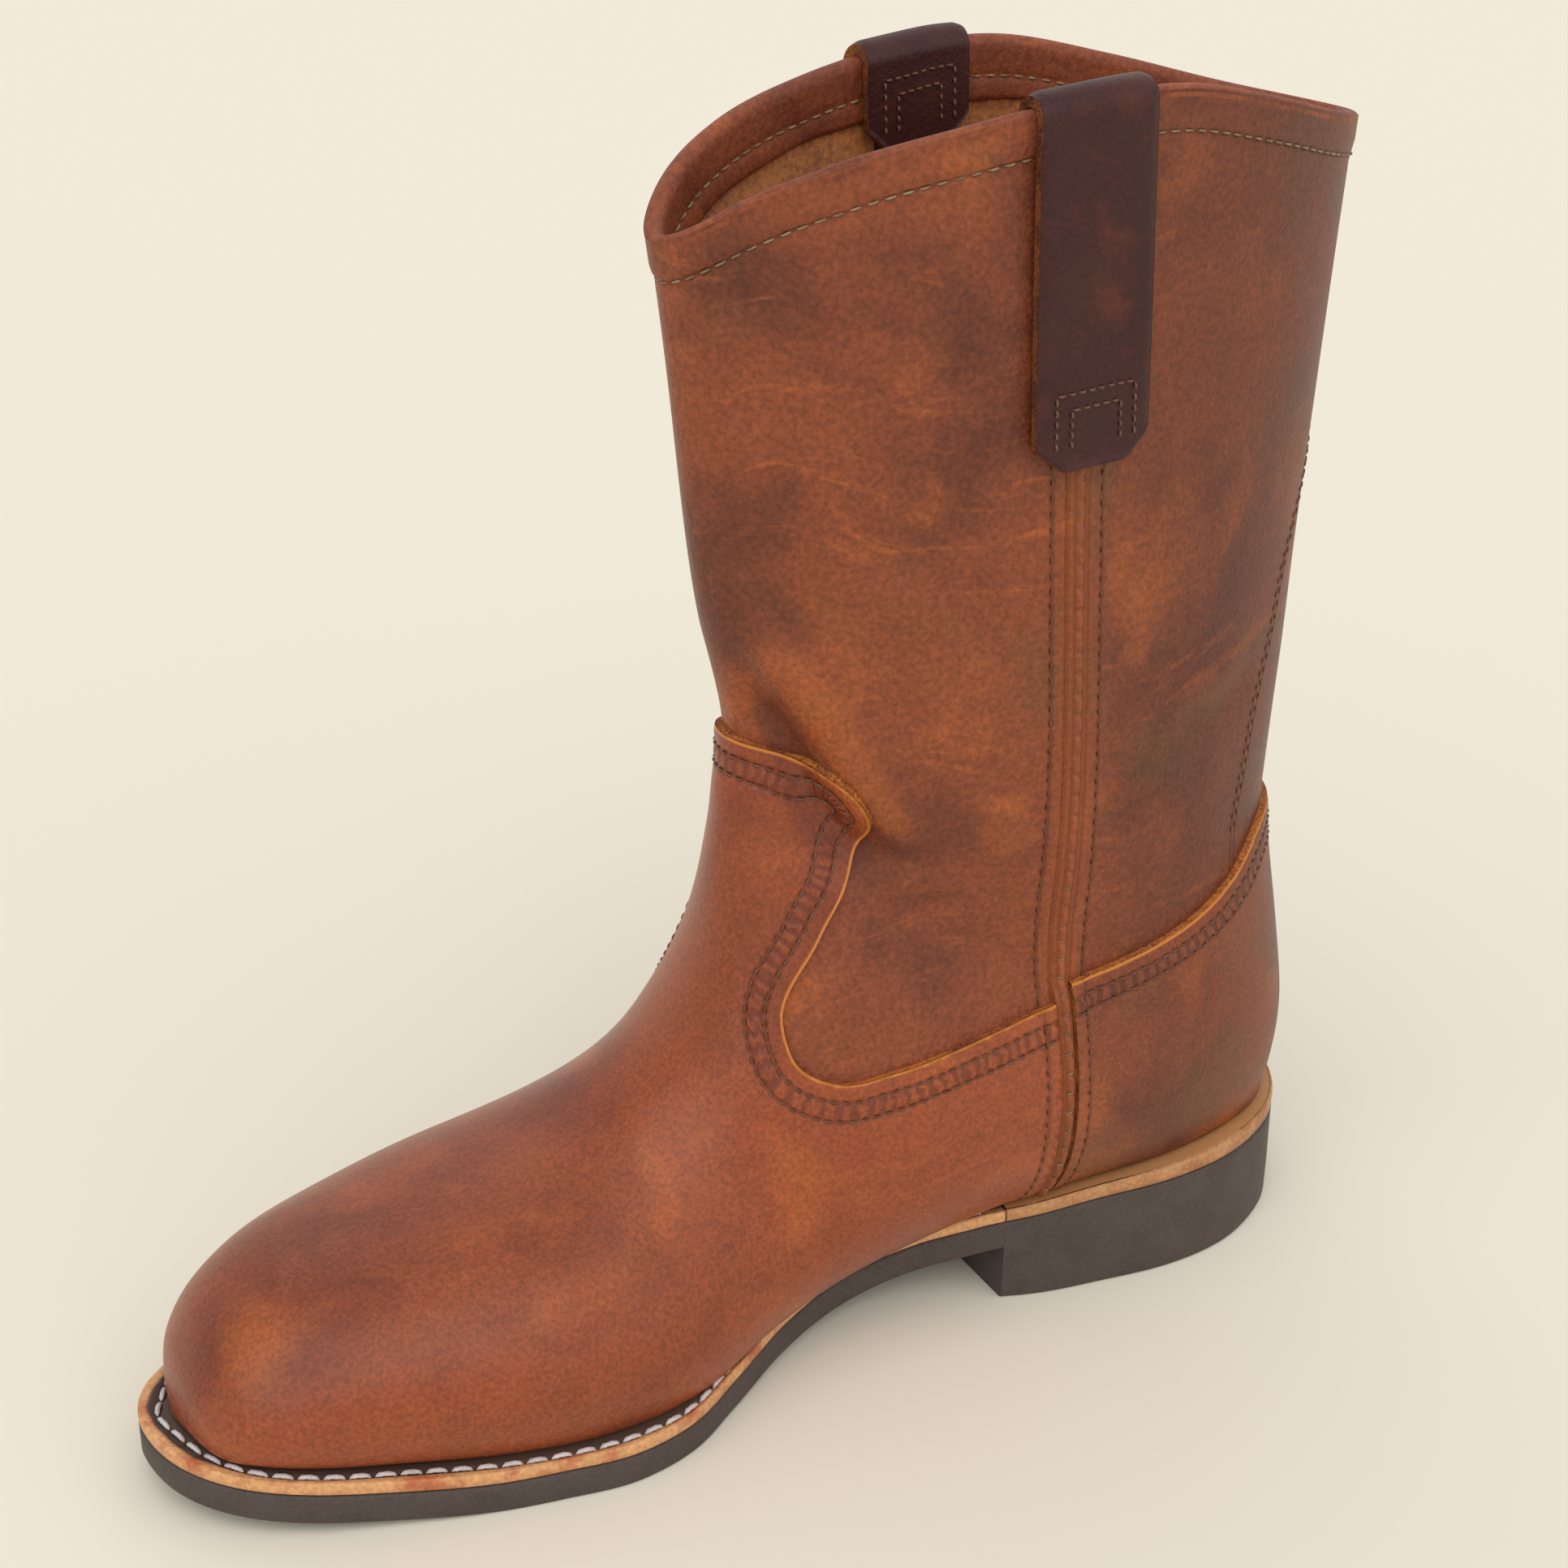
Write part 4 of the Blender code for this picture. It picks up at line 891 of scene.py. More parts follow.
def make_overlay(name, edge_table, direction, far_x, node, look):
    """Overlay with its raw cut edge: vamp (direction +1, forward of the seam) or counter (-1)."""
    table, faces = overlay_base()
    butt = SEAM_WIDTH / 2 + GAP
    edge = np.stack((world_x(edge_table[:, 0]), height_at(edge_table[:, 0], edge_table[:, 1])), -1)
    edge = spline(edge, 260)
    edge = np.vstack((edge[0] - (direction * 0.02, 0.0), edge, (far_x, edge[-1, 1])))
    far = np.array(((far_x, -0.05), (edge[0, 0], -0.05)))
    lift = table[:, 2] > 0.16
    table, faces, butts = trim(table, faces, np.where(lift, -1.0, direction * table[:, SEAM] - butt))
    field = side_polygon_field(table, edge, far)
    table, faces, pairs = trim(table, faces, field)
    line = max(chains(pairs), key=len)
    points = table[line]
    steps = np.linalg.norm(np.diff(points[:, PLACE], axis=0), axis=1)
    run = np.concatenate(([0], np.cumsum(steps)))
    best = np.full(len(table), 1e9)
    where = np.zeros(len(table))
    for block in range(0, len(table), 4000):
        part = table[block:block + 4000, PLACE]
        gap = np.linalg.norm(part[:, None] - points[None, :, PLACE], axis=2)
        nearest = gap.argmin(1)
        best[block:block + 4000] = gap[np.arange(len(part)), nearest]
        where[block:block + 4000] = run[nearest]
    table[:, EDGE], table[:, RUN] = best, where
    rows = [level_rows(table, faces, table[:, EDGE], level) for level in EDGE_ROWS]
    seam_row = level_rows(table, faces, np.abs(table[:, SEAM]), SEAM_ROW)
    sunk = sum(np.exp(-((table[:, EDGE] - level) / 0.0009) ** 2) for level in EDGE_ROWS) * 0.00022
    swell = np.exp(-((table[:, EDGE] - sum(EDGE_ROWS) / 2) / 0.0012) ** 2) * 0.00018
    table[:, PLACE] += table[:, OUT] * (swell - sunk - 0.0004 * np.exp(-table[:, EDGE] / 0.0007))[:, None]
    walls, picks = [], [0] * len(faces)
    added = []
    used = {c for face in faces for c in face}
    for chain in chains([pair for pair in pairs + butts if pair[0] in used and pair[1] in used]):
        bottom = []
        for k, depth in enumerate((0.0006, OVERLAY)):
            low = table[chain].copy()
            low[:, PLACE] -= low[:, OUT] * depth
            bottom.append(len(table) + sum(len(a) for a in added) + np.arange(len(chain)))
            added.append(low)
        index = np.stack((np.array(chain), *bottom))
        walls.extend(quads(index).tolist())
    table = np.vstack((table, *added))
    faces = faces + walls
    picks += [1] * len(walls)
    add_piece(name, table, faces, [finish(look), finish("cut")], (node,), picks,
              measures_of(table))
    sizes, _ = looks()
    paths = []
    for level in rows:
        for row in level:
            paths += stitches(row, sizes.stitch, sizes.stitch * 0.78, 0.00005, 0.0004)
    for row in seam_row:
        paths += stitches(row, sizes.seam_stitch, sizes.seam_stitch * 0.62, 0.00018, 0.0004)
    places, thread = tubes(paths, 0.00030)
    add_piece(name + "_stitches", places, thread, [finish("thread")])


def sides_of(rows):
    """Rows of table entries by side, inner first."""
    return [max((r for r in rows if np.sign(r[:, 1].mean()) == side),
                key=len, default=None) for side in (1, -1)]


def make_seams():
    """Raised cord up both sides with its puckers and cross threads."""
    table, faces, index, numbers, turns = last_grid()
    rows = sides_of(level_rows(table, tidy(faces), table[:, SEAM], 0.0, 0.05))
    profile = np.array(((-2.2, -0.2), (-2.2, 0.7), (-1.9, 1.15), (-1.3, 1.45), (-1.05, 1.35), (-0.8, 1.7),
                        (-0.55, 2.3), (0.0, 2.6), (0.55, 2.3), (0.8, 1.7), (1.05, 1.35), (1.3, 1.45),
                        (1.9, 1.15), (2.2, 0.7), (2.2, -0.2))) * MM
    cord = np.array([0, 0, 0, 0, .3, .7, 1, 1, 1, .7, .3, 0, 0, 0, 0])
    for name, node, row in zip(("seam_medial", "seam_lateral"), ("side_seam_medial", "side_seam_lateral"), rows):
        row = row if row[0, 2] < row[-1, 2] else row[::-1]
        row = row[share_of(row[:, 0], row[:, 2]) < 1.70]
        line = walk(row, 0.00042)
        run = np.arange(len(line)) * 0.00042
        way = unit(np.gradient(line[:, PLACE], axis=0))
        out = unit(line[:, OUT] - (line[:, OUT] * way).sum(1, keepdims=True) * way)
        across = np.cross(way, out)
        pucker = np.exp(-((run % 0.0050 - 0.0025) / 0.0007) ** 2)
        low = 1 - ease(0.74, 0.84, share_of(line[:, 0], line[:, 2]))
        up = profile[None, :, 1] * (1 - 0.34 * pucker[:, None] * cord[None, :]) + 0.0008 * low[:, None]
        places = (line[:, None, PLACE] + across[:, None] * profile[None, :, 0, None] + out[:, None] * up[..., None])
        grid = np.arange(places.shape[0] * places.shape[1]).reshape(places.shape[:2])
        measures = np.zeros((grid.size, WIDTH_OF_TABLE))
        measures[:, PLACE] = places.reshape(-1, 3)
        measures[:, SEAM] = np.tile(profile[:, 0], len(line))
        measures[:, TOP] = measures[:, STAY] = measures[:, EDGE] = 1.0
        add_piece(name, measures, quads(grid).tolist(), [finish("shaft")], (node,),
                  measures=measures_of(measures))
        paths = []
        for k in range(6, len(line) - 6, 12):
            reach = np.linspace(-1, 1, 5)
            arc = 0.0021 - 0.0011 * np.abs(reach) ** 1.6
            points = line[k, PLACE] + across[k] * (reach * 0.0011)[:, None] + out[k] * (arc + 0.0008 * low[k])[:, None]
            points += way[k] * (reach * 0.0004)[:, None]
            paths.append((points, np.repeat(out[k][None], 5, 0)))
        places, thread = tubes(paths, 0.00022)
        add_piece(name + "_threads", places, thread, [finish("pale_thread")])


def make_shaft_rows():
    """Thread rows beside the side seams, round the collar and along the back stay."""
    sizes, _ = looks()
    table, faces, index = shaft_skin()
    high = share_of(table[:, 0], table[:, 2])
    vamp = spline(np.stack((world_x(VAMP_EDGE[:, 0]), height_at(VAMP_EDGE[:, 0], VAMP_EDGE[:, 1])), -1), 80)
    faces = tidy(faces)
    limit = np.where(table[:, SEAM] > 0, VAMP_EDGE[0, 1], COUNTER_EDGE[0, 1])
    above = high - limit
    kept_table, kept, _ = trim(table, faces, above - 0.004)
    rows = level_rows(kept_table, kept, np.abs(kept_table[:, SEAM]), SEAM_ROW)
    paths = []
    for row in rows:
        row = row[(share_of(row[:, 0], row[:, 2]) < 1.72)]
        if len(row) > 4:
            paths += stitches(row, sizes.seam_stitch, sizes.seam_stitch * 0.62, 0.00018, 0.0004)
    edge = COUNTER_EDGE[-2, 1]
    kept_table, kept, _ = trim(table, faces, np.where(high < 1.7, high - edge, -1.0))
    kept_table, kept, _ = trim(kept_table, kept, -kept_table[:, 0] + world_x(0.28))
    for level in STAY_ROWS:
        for row in level_rows(kept_table, kept, kept_table[:, STAY], level):
            paths += stitches(row, 0.0032, 0.0022, 0.00014, 0.0004)
    places, thread = tubes(paths, 0.00027)
    add_piece("shaft_stitches", places, thread, [finish("thread")])
    paths = []
    for row in level_rows(table, faces, table[:, TOP], COLLAR_ROW):
        paths += stitches(row, sizes.collar_stitch, sizes.collar_stitch * 0.72, 0.00022, 0.0004)
    places, thread = tubes(paths, 0.00028)
    add_piece("collar_stitches", places, thread, [finish("pale_thread")])


def rim():
    """Table of the upper's fine outer face as a grid, section by turn; its last row runs round the collar."""
    table, faces, index, numbers, turns = last_grid()
    grid = table[: index.size].reshape(*index.shape, WIDTH_OF_TABLE)
    return grid


def make_collar():
    """The leather turned over the rim and down inside, with its inner thread row."""
    grid = rim()
    columns = grid.shape[1] - 1
    up = unit(grid[-1, :, PLACE] - grid[-4, :, PLACE])
    out = grid[-1, :, OUT]
    out = unit(out - (out * up).sum(1, keepdims=True) * up)
    roll = np.array(((-1.6, 0.70), (-0.7, 0.72), (0.05, 0.55), (0.55, 0.10), (0.85, -0.60), (0.90, -1.40),
                     (0.65, -2.20), (0.15, -2.90), (-0.60, -3.35), (-1.50, -3.50))) * MM
    rings = [grid[-1, :, PLACE] + up * a + out * b for a, b in roll]
    inner = ((2.6, -3.50), (4.2, -3.45), (6.0, -3.42), (7.2, -3.35), (8.0, -3.05), (8.8, -3.35), (10.2, -3.45),
             (11.8, -3.50), (12.7, -3.35), (13.0, -2.90), (13.0, -2.05))
    wave = np.sin(np.arange(grid.shape[1]) * 0.45) + np.sin(np.arange(grid.shape[1]) * 0.17)
    drops = []
    for drop, off in inner:
        ring = []
        for j in range(grid.shape[1]):
            place = drop + (0.22 * wave[j] if drop > 11 else 0.0)
            column = grid[-40:, j][::-1]
            row = [np.interp(place * MM, column[:, TOP], column[:, k]) for k in range(6)]
            ring.append(np.array(row[:3]) + np.array(row[3:]) * (off - 0.08 * wave[j] * (drop > 9)) * MM)
        rings.append(np.array(ring))
    places = np.stack(rings)[:, :columns]
    index = np.arange(places.shape[0] * columns).reshape(places.shape[0], columns)
    index = np.concatenate((index, index[:, :1]), axis=1)
    measures = np.ones((index.size, WIDTH_OF_TABLE))
    flat = places.reshape(-1, 3)
    measures = np.ones((len(flat), WIDTH_OF_TABLE)) * 0.001
    measures[:, PLACE] = flat
    measures[:, FOLD] = 0.0
    add_piece("collar_turn", measures, quads(index).tolist(), [finish("lining")],
              ("collar_facing",), measures=measures_of(measures))
    sizes, _ = looks()
    line = np.zeros((columns + 1, WIDTH_OF_TABLE))
    row = np.concatenate((places[len(roll) + 4], places[len(roll) + 4][:1]))
    line[:, PLACE] = row
    line[:, OUT] = -np.concatenate((out[:columns], out[:1]))
    paths = stitches(line, sizes.collar_stitch, sizes.collar_stitch * 0.72, 0.0003, 0.0003)
    places, thread = tubes(paths, 0.00028)
    add_piece("facing_stitches", places, thread, [finish("pale_thread")])


def make_tapes():
    """Cotton tape over the inside of both side seams."""
    table, faces, index, numbers, turns = last_grid()
    inside = offset(table, -(WALL + 0.0004))
    upright = np.where((inside[:, 2] > 0.10) & (inside[:, TOP] > 0.012), 1.0, -1.0)
    kept, faces, _ = trim(inside, tidy(faces), np.where(upright > 0, 0.0085 - np.abs(inside[:, SEAM]), -1.0))
    add_piece("seam_tapes", kept, faces, [finish("tape")])


# Straps


def strap_lines(side, places, clips, leg, inner_leg):
    """Lines of a strap from its outer end over the collar: points and directions, all of one length."""
    table, faces, index, numbers, turns = last_grid()
    table = offset(table, 0.0011)
    tree = BVHTree.FromPolygons(table[:, PLACE].tolist(), tidy(faces))
    top = rim()[-1]
    half = top[np.sign(top[:, 1]) == side]
    half = half[np.argsort(half[:, 0])]

    def wall(x, drop):
        """Point and direction of the shaft's face at a drop under the collar."""
        x = x - 0.055 * drop
        z = np.interp(x, half[:, 0], half[:, 2]) - max(drop, 0.0012)
        hit, out, _, _ = tree.ray_cast(Vector((x, side * 0.2, z)), Vector((0, -side, 0)))
        out = out if out.y * side > 0 else -out
        out = Vector((out.x * 0.6, out.y, out.z * 0.6)).normalized()
        return np.array(hit), np.array(out)

    lines = []
    for x, clip in zip(places, clips):
        points, outs = [], []
        for drop in np.linspace(leg - clip, 0.0015, 30):
            point, out = wall(x, drop)
            points.append(point + out * GAP)
            outs.append(out)
        point, out = wall(x, 0.0015)
        depth = 0.0050
        centre = point - out * depth / 2
        for angle in np.linspace(0, math.pi, 15)[1:-1]:
            up = np.array((0, 0, 1.0))
            away = out * math.cos(angle) + up * math.sin(angle)
            points.append(centre + out * (depth / 2 + GAP) * math.cos(angle) + up * 0.0026 * math.sin(angle))
            outs.append(away)
        for drop in np.linspace(0.0015, inner_leg - clip, 12):
            point, out = wall(x, drop)
            points.append(point - out * depth)
            outs.append(-out)
        lines.append((np.array(points), np.array(outs)))
    near, away = (np.array([line[k] for line in lines]) for k in (0, 1))
    for row in range(near.shape[1]):
        near[:, row, 1] = np.polyval(np.polyfit(places, near[:, row, 1], 3), places)
        for k in range(3):
            away[:, row, k] = np.polyval(np.polyfit(places, away[:, row, k], 1), places)
    return near, unit(away)


def make_strap(name, node, side):
    """Pull strap with clipped corners, raw edges and a double row of thread at both ends."""
    sizes, _ = looks()
    half, clip = sizes.strap_width / 2, 0.006
    steps = np.concatenate(([-half, -half + 0.0004], np.linspace(-half + 0.0016, half - 0.0016, 23),
                            [half - 0.0004, half]))
    clips = np.maximum(np.abs(steps) - (half - clip), 0.0)
    near, away = strap_lines(side, world_x(STRAP_AT) + steps, clips, 0.0745, 0.021)
    thick = sizes.strap_thickness - 0.0005 * ease(half - 0.0012, half, np.abs(steps))
    bow = 0.0002 * np.sin(np.linspace(0, 9, near.shape[1]))[None, :] * np.sin(steps * 300)[:, None]
    far = near + away * (thick[:, None] + bow)[..., None]
    shape = near.shape[:2]
    index = np.arange(shape[0] * shape[1]).reshape(shape)
    far_index = index + index.size
    faces = quads(index).tolist() + quads(far_index).tolist()
    picks = [0] * len(faces)
    loop = np.concatenate((index[:, 0], index[-1, 1:], index[-2::-1, -1], index[0, -2:0:-1]))
    loop = np.concatenate((loop, loop[:1]))
    sides = quads(np.stack((loop, loop + index.size))).tolist()
    table = np.zeros((2 * index.size, WIDTH_OF_TABLE))
    table[:, PLACE] = np.vstack((near.reshape(-1, 3), far.reshape(-1, 3)))
    add_piece(name, table, faces + sides, [finish("strap"), finish("cut")], (node,),
              picks + [1] * len(sides), measures_of(table))
    runs = np.cumsum(np.linalg.norm(np.diff(far, axis=1), axis=2), axis=1)
    runs = clips[:, None] + np.hstack((np.zeros((len(steps), 1)), runs))
    whole = runs[13, -1]

    def spot(across, along):
        """Point and direction on the strap's outside, across it and along from its outer end."""
        a = np.interp(across, steps, np.arange(len(steps)))
        i = min(int(a), len(steps) - 2)
        place = []
        for g in (far, away):
            low, high = (np.array([np.interp(along, runs[c], g[c, :, k]) for k in range(3)]) for c in (i, i + 1))
            place.append((1 - a + i) * low + (a - i) * high)
        return place[0], place[1] / np.linalg.norm(place[1])

    paths = []
    for from_end, way in ((0.0048, 1), (whole - 0.0045, -1)):
        for wide, tall in ((0.0094, 0.0120), (0.0059, 0.0085)):
            corners = [(-wide, 0), (-wide, tall), (wide, tall), (wide, 0)]
            for (a, b), (c, d) in zip(corners, corners[1:]):
                count = max(int(round(math.hypot(c - a, d - b) / 0.0024)), 1)
                for k in range(count):
                    t = np.linspace((k + 0.14) / count, (k + 0.86) / count, 5)
                    spots = [spot(a + (c - a) * s, from_end + way * (b + (d - b) * s)) for s in t]
                    arc = 0.00035 - 0.0006 * np.abs(np.linspace(-1, 1, 5)) ** 2
                    points = np.array([p + n * h for (p, n), h in zip(spots, arc)])
                    paths.append((points, np.array([n for _, n in spots])))
    places, thread = tubes(paths, 0.00034)
    add_piece(name + "_stitches", places, thread, [finish("thread")])


# Sole


def foot_outline():
    """The upper's outline on the seat, from above, with its overlays."""
    grid = rim()
    numbers = last_grid()[3]
    low = numbers < CLOSED_SECTION
    out = [grid[low, j, :2] + grid[low, j, 3:5] * (OVERLAY + GAP) for j in (-1, 0)]
    return np.vstack((out[0][::-1], out[1]))


def edge_stations(low, high, count, whole=False):
    """Points and inward directions of the sole's edge, along the inner side and back along the outer."""
    turns = np.linspace(low, high, count)
    inner, outer = sole_edge(turns, 1), sole_edge(turns, -1)
    points = np.vstack((inner, outer[::-1][1:]))
    if whole:
        points = points[:-1]
        way = np.roll(points, -1, axis=0) - np.roll(points, 1, axis=0)
    else:
        way = np.gradient(points, axis=0)
    way = unit(way)
    return points, np.stack((way[:, 1], -way[:, 0]), -1)


def make_strip(name, node, low, high, groove):
    """Welt or rand: rounded edge, and on the welt a groove with its lock stitches."""
    points, inward = edge_stations(low, high, 300)
    if low == 0.0:
        turns = np.linspace(high, 0, 220)
        points = np.vstack((sole_edge(turns, 1), sole_edge(turns[::-1], -1)[1:]))
        way = unit(np.gradient(points, axis=0))
        inward = np.stack((-way[:, 1], way[:, 0]), -1)
    foot = foot_outline()
    ledge = np.array([np.linalg.norm(foot - p, axis=1).min() for p in points])
    thick = welt_thickness(points[:, 0])
    at = np.clip(ledge - 0.0030, 0.0018, 0.006)
    at = np.convolve(np.pad(at, 6, mode="edge"), np.ones(13) / 13, mode="valid")
    rounding = 0.0006 if groove else 0.0011
    depth = 0.0006 if groove else 0.0
    one = np.ones(len(points))
    profile = [(0.015 * one, 0 * one), (0.0005 * one, 0 * one), (0.0001 * one, 0.0004 * one),
               (0.0 * one, thick * 0.5), (0.00005 * one, thick - rounding), (rounding * 0.3, thick - rounding * 0.3),
               (rounding * one, thick), (at - 0.0011, thick), (at - 0.0006, thick - depth * 0.5),
               (at, thick - depth), (at + 0.0006, thick - depth * 0.5), (at + 0.0011, thick),
               (0.015 * one, thick)]
    rings, across = [], []
    total = np.zeros(len(points))
    before = None
    for reach, rise in profile:
        reach = reach * one
        spot = points + inward * reach[:, None]
        rings.append(np.column_stack((spot, outsole_top(spot[:, 0]) + GAP + rise)))
        if before is not None:
            total = total + np.hypot(reach - before[0], rise - before[1])
        across.append(total.copy() - 0.0145)
        before = (reach, rise)
    places = np.stack(rings)
    index = np.arange(places.shape[0] * places.shape[1]).reshape(places.shape[:2])
    index = np.concatenate((index, index[:1]))
    faces = quads(index).tolist() + [index[:-1, 0].tolist(), index[:-1, -1][::-1].tolist()]
    table = np.zeros((len(profile) * len(points), WIDTH_OF_TABLE))
    table[:, PLACE] = places.reshape(-1, 3)
    table[:, EDGE] = np.stack(across).reshape(-1)
    sizes, tint = looks()
    top = tint.welt_top if groove else tint.rand
    made = strip_leather(name + " leather", tuple(tint.welt_edge if groove else tint.rand), tuple(top),
                         tuple(tint.welt_red if groove else tint.rand_dark))
    add_piece(name, table, faces, [made], (node,), measures=measures_of(table))
    if not groove:
        return
    line = np.zeros((len(points), WIDTH_OF_TABLE))
    spot = points + inward * at[:, None]
    line[:, PLACE] = np.column_stack((spot, outsole_top(spot[:, 0]) + GAP + thick))
    line[:, OUT] = (0, 0, 1)
    paths = stitches(line[6:-6], sizes.welt_stitch, sizes.welt_stitch * 0.86, 0.00025, 0.0007, steps=9)
    places, thread = tubes(paths, 0.00062, sides=8, lobes=2, twist=5.0, flat=0.8)
    add_piece("welt_stitches", places, thread, [finish("welt_thread")])


def make_outsole():
    """Rubber plate with toe spring and shank, and the heel block under its back part."""
    sizes, _ = looks()
    soft = sizes.rubber_edge
    points, inward = edge_stations(0.0, 1.0, 260, whole=True)
    rings = []
    for reach, level in ((soft, 0), (soft * 0.3, 1), (0, 2), (0, 3), (soft * 0.3, 4), (soft, 5)):
        spot = points + inward * reach
        top, under = outsole_top(spot[:, 0]), outsole_under(spot[:, 0])
        height = (top, top - soft * 0.3, top - soft, under + soft, under + soft * 0.3, under)[level]
        rings.append(np.column_stack((spot, height)))
    places = np.stack(rings)
    count = places.shape[1]
    index = np.arange(places.shape[0] * count).reshape(places.shape[:2])
    closed = np.concatenate((index, index[:, :1]), axis=1)
    faces = quads(closed).tolist()
    for ring in (index[0], index[-1]):
        for i in range(1, count // 2):
            faces.append([ring[i], ring[i - 1 or 0], ring[-i + 1 if i > 1 else 0], ring[-i]])
    faces = [[c for i, c in enumerate(f) if c != f[i - 1]] for f in faces]
    flat = [places.reshape(-1, 3)]
    breast = turn_at(HEEL_LENGTH / SOLE_LENGTH)
    turns = np.linspace(breast, 0, 150)
    edge = np.vstack((sole_edge(turns, 1), sole_edge(turns[::-1], -1)[1:]))
    way = unit(np.gradient(edge, axis=0))
    into = np.stack((-way[:, 1], way[:, 0]), -1)
    into[0], into[-1] = (0, -1), (0, 1)
    share = np.clip((edge[:, 0] - world_x(0)) / HEEL_LENGTH, 0, 1)
    flare = HEEL_FLARE * np.sin(math.pi * share)
    rings = []
    for level, reach in ((1.0, 0.0), (0.66, 0.0), (0.33, 0.0), (0.0, 0.0), (-1, soft * 0.35), (-2, soft * 1.1)):
        spot = edge + into * (reach - 0.00004)
        under = outsole_top(edge[:, 0]) - soft * 1.2
        low = {-1: soft * 0.35, -2: 0.0}.get(level, soft * 1.1 + max(level, 0) * 0)
        height = np.maximum(level, 0) * (under - soft * 1.1) + low if level > 0 else np.full(len(edge), low)
        spread = flare * min((1 - max(level, 0.0)) * 1.3, 1.0)
        spot[:, 1] += np.sign(edge[:, 1]) * spread
        rings.append(np.column_stack((spot, height)))
    block = np.stack(rings)
    start = len(flat[0])
    index = start + np.arange(block.shape[0] * block.shape[1]).reshape(block.shape[:2])
    faces += quads(index).tolist()
    faces += quads(index[:, [0, -1]]).tolist()
    last = index[-1]
    for i in range(len(last) // 2):
        faces.append([last[i], last[i + 1], last[-i - 2], last[-i - 1]])
    faces = [[c for i, c in enumerate(f) if c != f[i - 1]] for f in faces]
    faces = [f for f in faces if len(set(f)) > 2]
    flat.append(block.reshape(-1, 3))
    piece = add_piece("outsole_rubber", np.vstack(flat), faces, [finish("rubber")], ("outsole",))
    piece.data.set_sharp_from_angle(angle=math.radians(50))


# Stage


def make_stage():
    """Pale floor, soft studio light and the camera of the picture."""
    _, tint = looks()
    mesh = bpy.data.meshes.new("studio_floor")
    mesh.from_pydata([(-70, -70, 0), (70, -70, 0), (70, 70, 0), (-70, 70, 0)], [], [(0, 1, 2, 3)])
    floor = bpy.data.objects.new("studio_floor", mesh)
    bpy.context.scene.collection.objects.link(floor)
    paper = bpy.data.materials.new("matt backdrop paper")
    paper.use_nodes = True
    shader = paper.node_tree.nodes["Principled BSDF"]
    where = put(paper.node_tree, "TexCoord", out=3)
    tooth = put(paper.node_tree, "TexNoise", {"Vector": where, "Scale": 900.0, "Detail": 2.0})
    relief = put(paper.node_tree, "Bump", {"Height": tooth, "Distance": 0.00002, "Strength": 0.3})
    paper.node_tree.links.new(relief, shader.inputs["Normal"])
    shader.inputs["Base Color"].default_value = (*tint.floor, 1.0)
    shader.inputs["Roughness"].default_value = 1.0
    shader.inputs["Specular IOR Level"].default_value = 0.0
    mesh.materials.append(paper)
    world = bpy.data.worlds.new("studio")
    bpy.context.scene.world = world
    world.use_nodes = True
    world.node_tree.nodes["Background"].inputs["Color"].default_value = (1.0, 0.985, 0.96, 1.0)
    world.node_tree.nodes["Background"].inputs["Strength"].default_value = 0.60
    for name, place, spread, power in (("key", (1.0, 0.75, 1.3), 70, 1.14), ("side", (-0.5, 1.1, 0.9), 70, 0.52),
                                       ("back", (-0.6, -1.0, 1.4), 70, 0.30)):
        light = bpy.data.lights.new(name, "SUN")
        light.angle = math.radians(spread)
        light.energy = power
        lamp = bpy.data.objects.new(name, light)
        lamp.rotation_euler = (-Vector(place)).to_track_quat("-Z", "Y").to_euler()
        bpy.context.scene.collection.objects.link(lamp)
    data = bpy.data.cameras.new("picture")
    data.lens = 55.9
    data.sensor_width = 36.0
    data.clip_start = 0.01
    camera = bpy.data.objects.new("picture", data)
    right, up, back = (-0.8750, 0.4838, 0.0205), (-0.1930, -0.3872, 0.9017), (0.4441, 0.7849, 0.4321)
    place = Matrix((right, up, back)).transposed().to_4x4()
    place.translation = (0.3431, 0.4341, 0.3778)
    camera.matrix_world = place
    bpy.context.scene.collection.objects.link(camera)
    bpy.context.scene.camera = camera
    bpy.context.scene.view_settings.view_transform = "Standard"


# Settings, operators and panel


def length(name, default, text):
    """A length that a user may change."""
    return bpy.props.FloatProperty(name=name, default=default, min=0.0, unit="LENGTH", precision=5, description=text)


def colour(name, code, text):
    """A colour that a user may change, from its sRGB hex value."""
    return bpy.props.FloatVectorProperty(name=name, default=linear(code), size=3, min=0.0, max=1.0,
                                         subtype="COLOR", description=text)


class BootSizes(bpy.types.PropertyGroup):
    """Sizes of the boot's finish."""
    grain: length("Grain", 0.0009, "Width of one pebble of the leather's grain")
    stitch: length("Overlay stitch", 0.0030, "Pitch of the rows along vamp and counter")
    seam_stitch: length("Seam stitch", 0.0035, "Pitch of the rows beside the side seams")
    collar_stitch: length("Collar stitch", 0.0036, "Pitch of the rows round the collar")
    welt_stitch: length("Welt stitch", 0.0055, "Pitch of the lock stitches on the welt")
    strap_width: length("Strap width", 0.027, "Width of the pull straps")
    strap_thickness: length("Strap thickness", 0.0027, "Thickness of the pull straps")
    rubber_edge: length("Rubber edge", 0.0007, "Rounding of the outsole's edges")


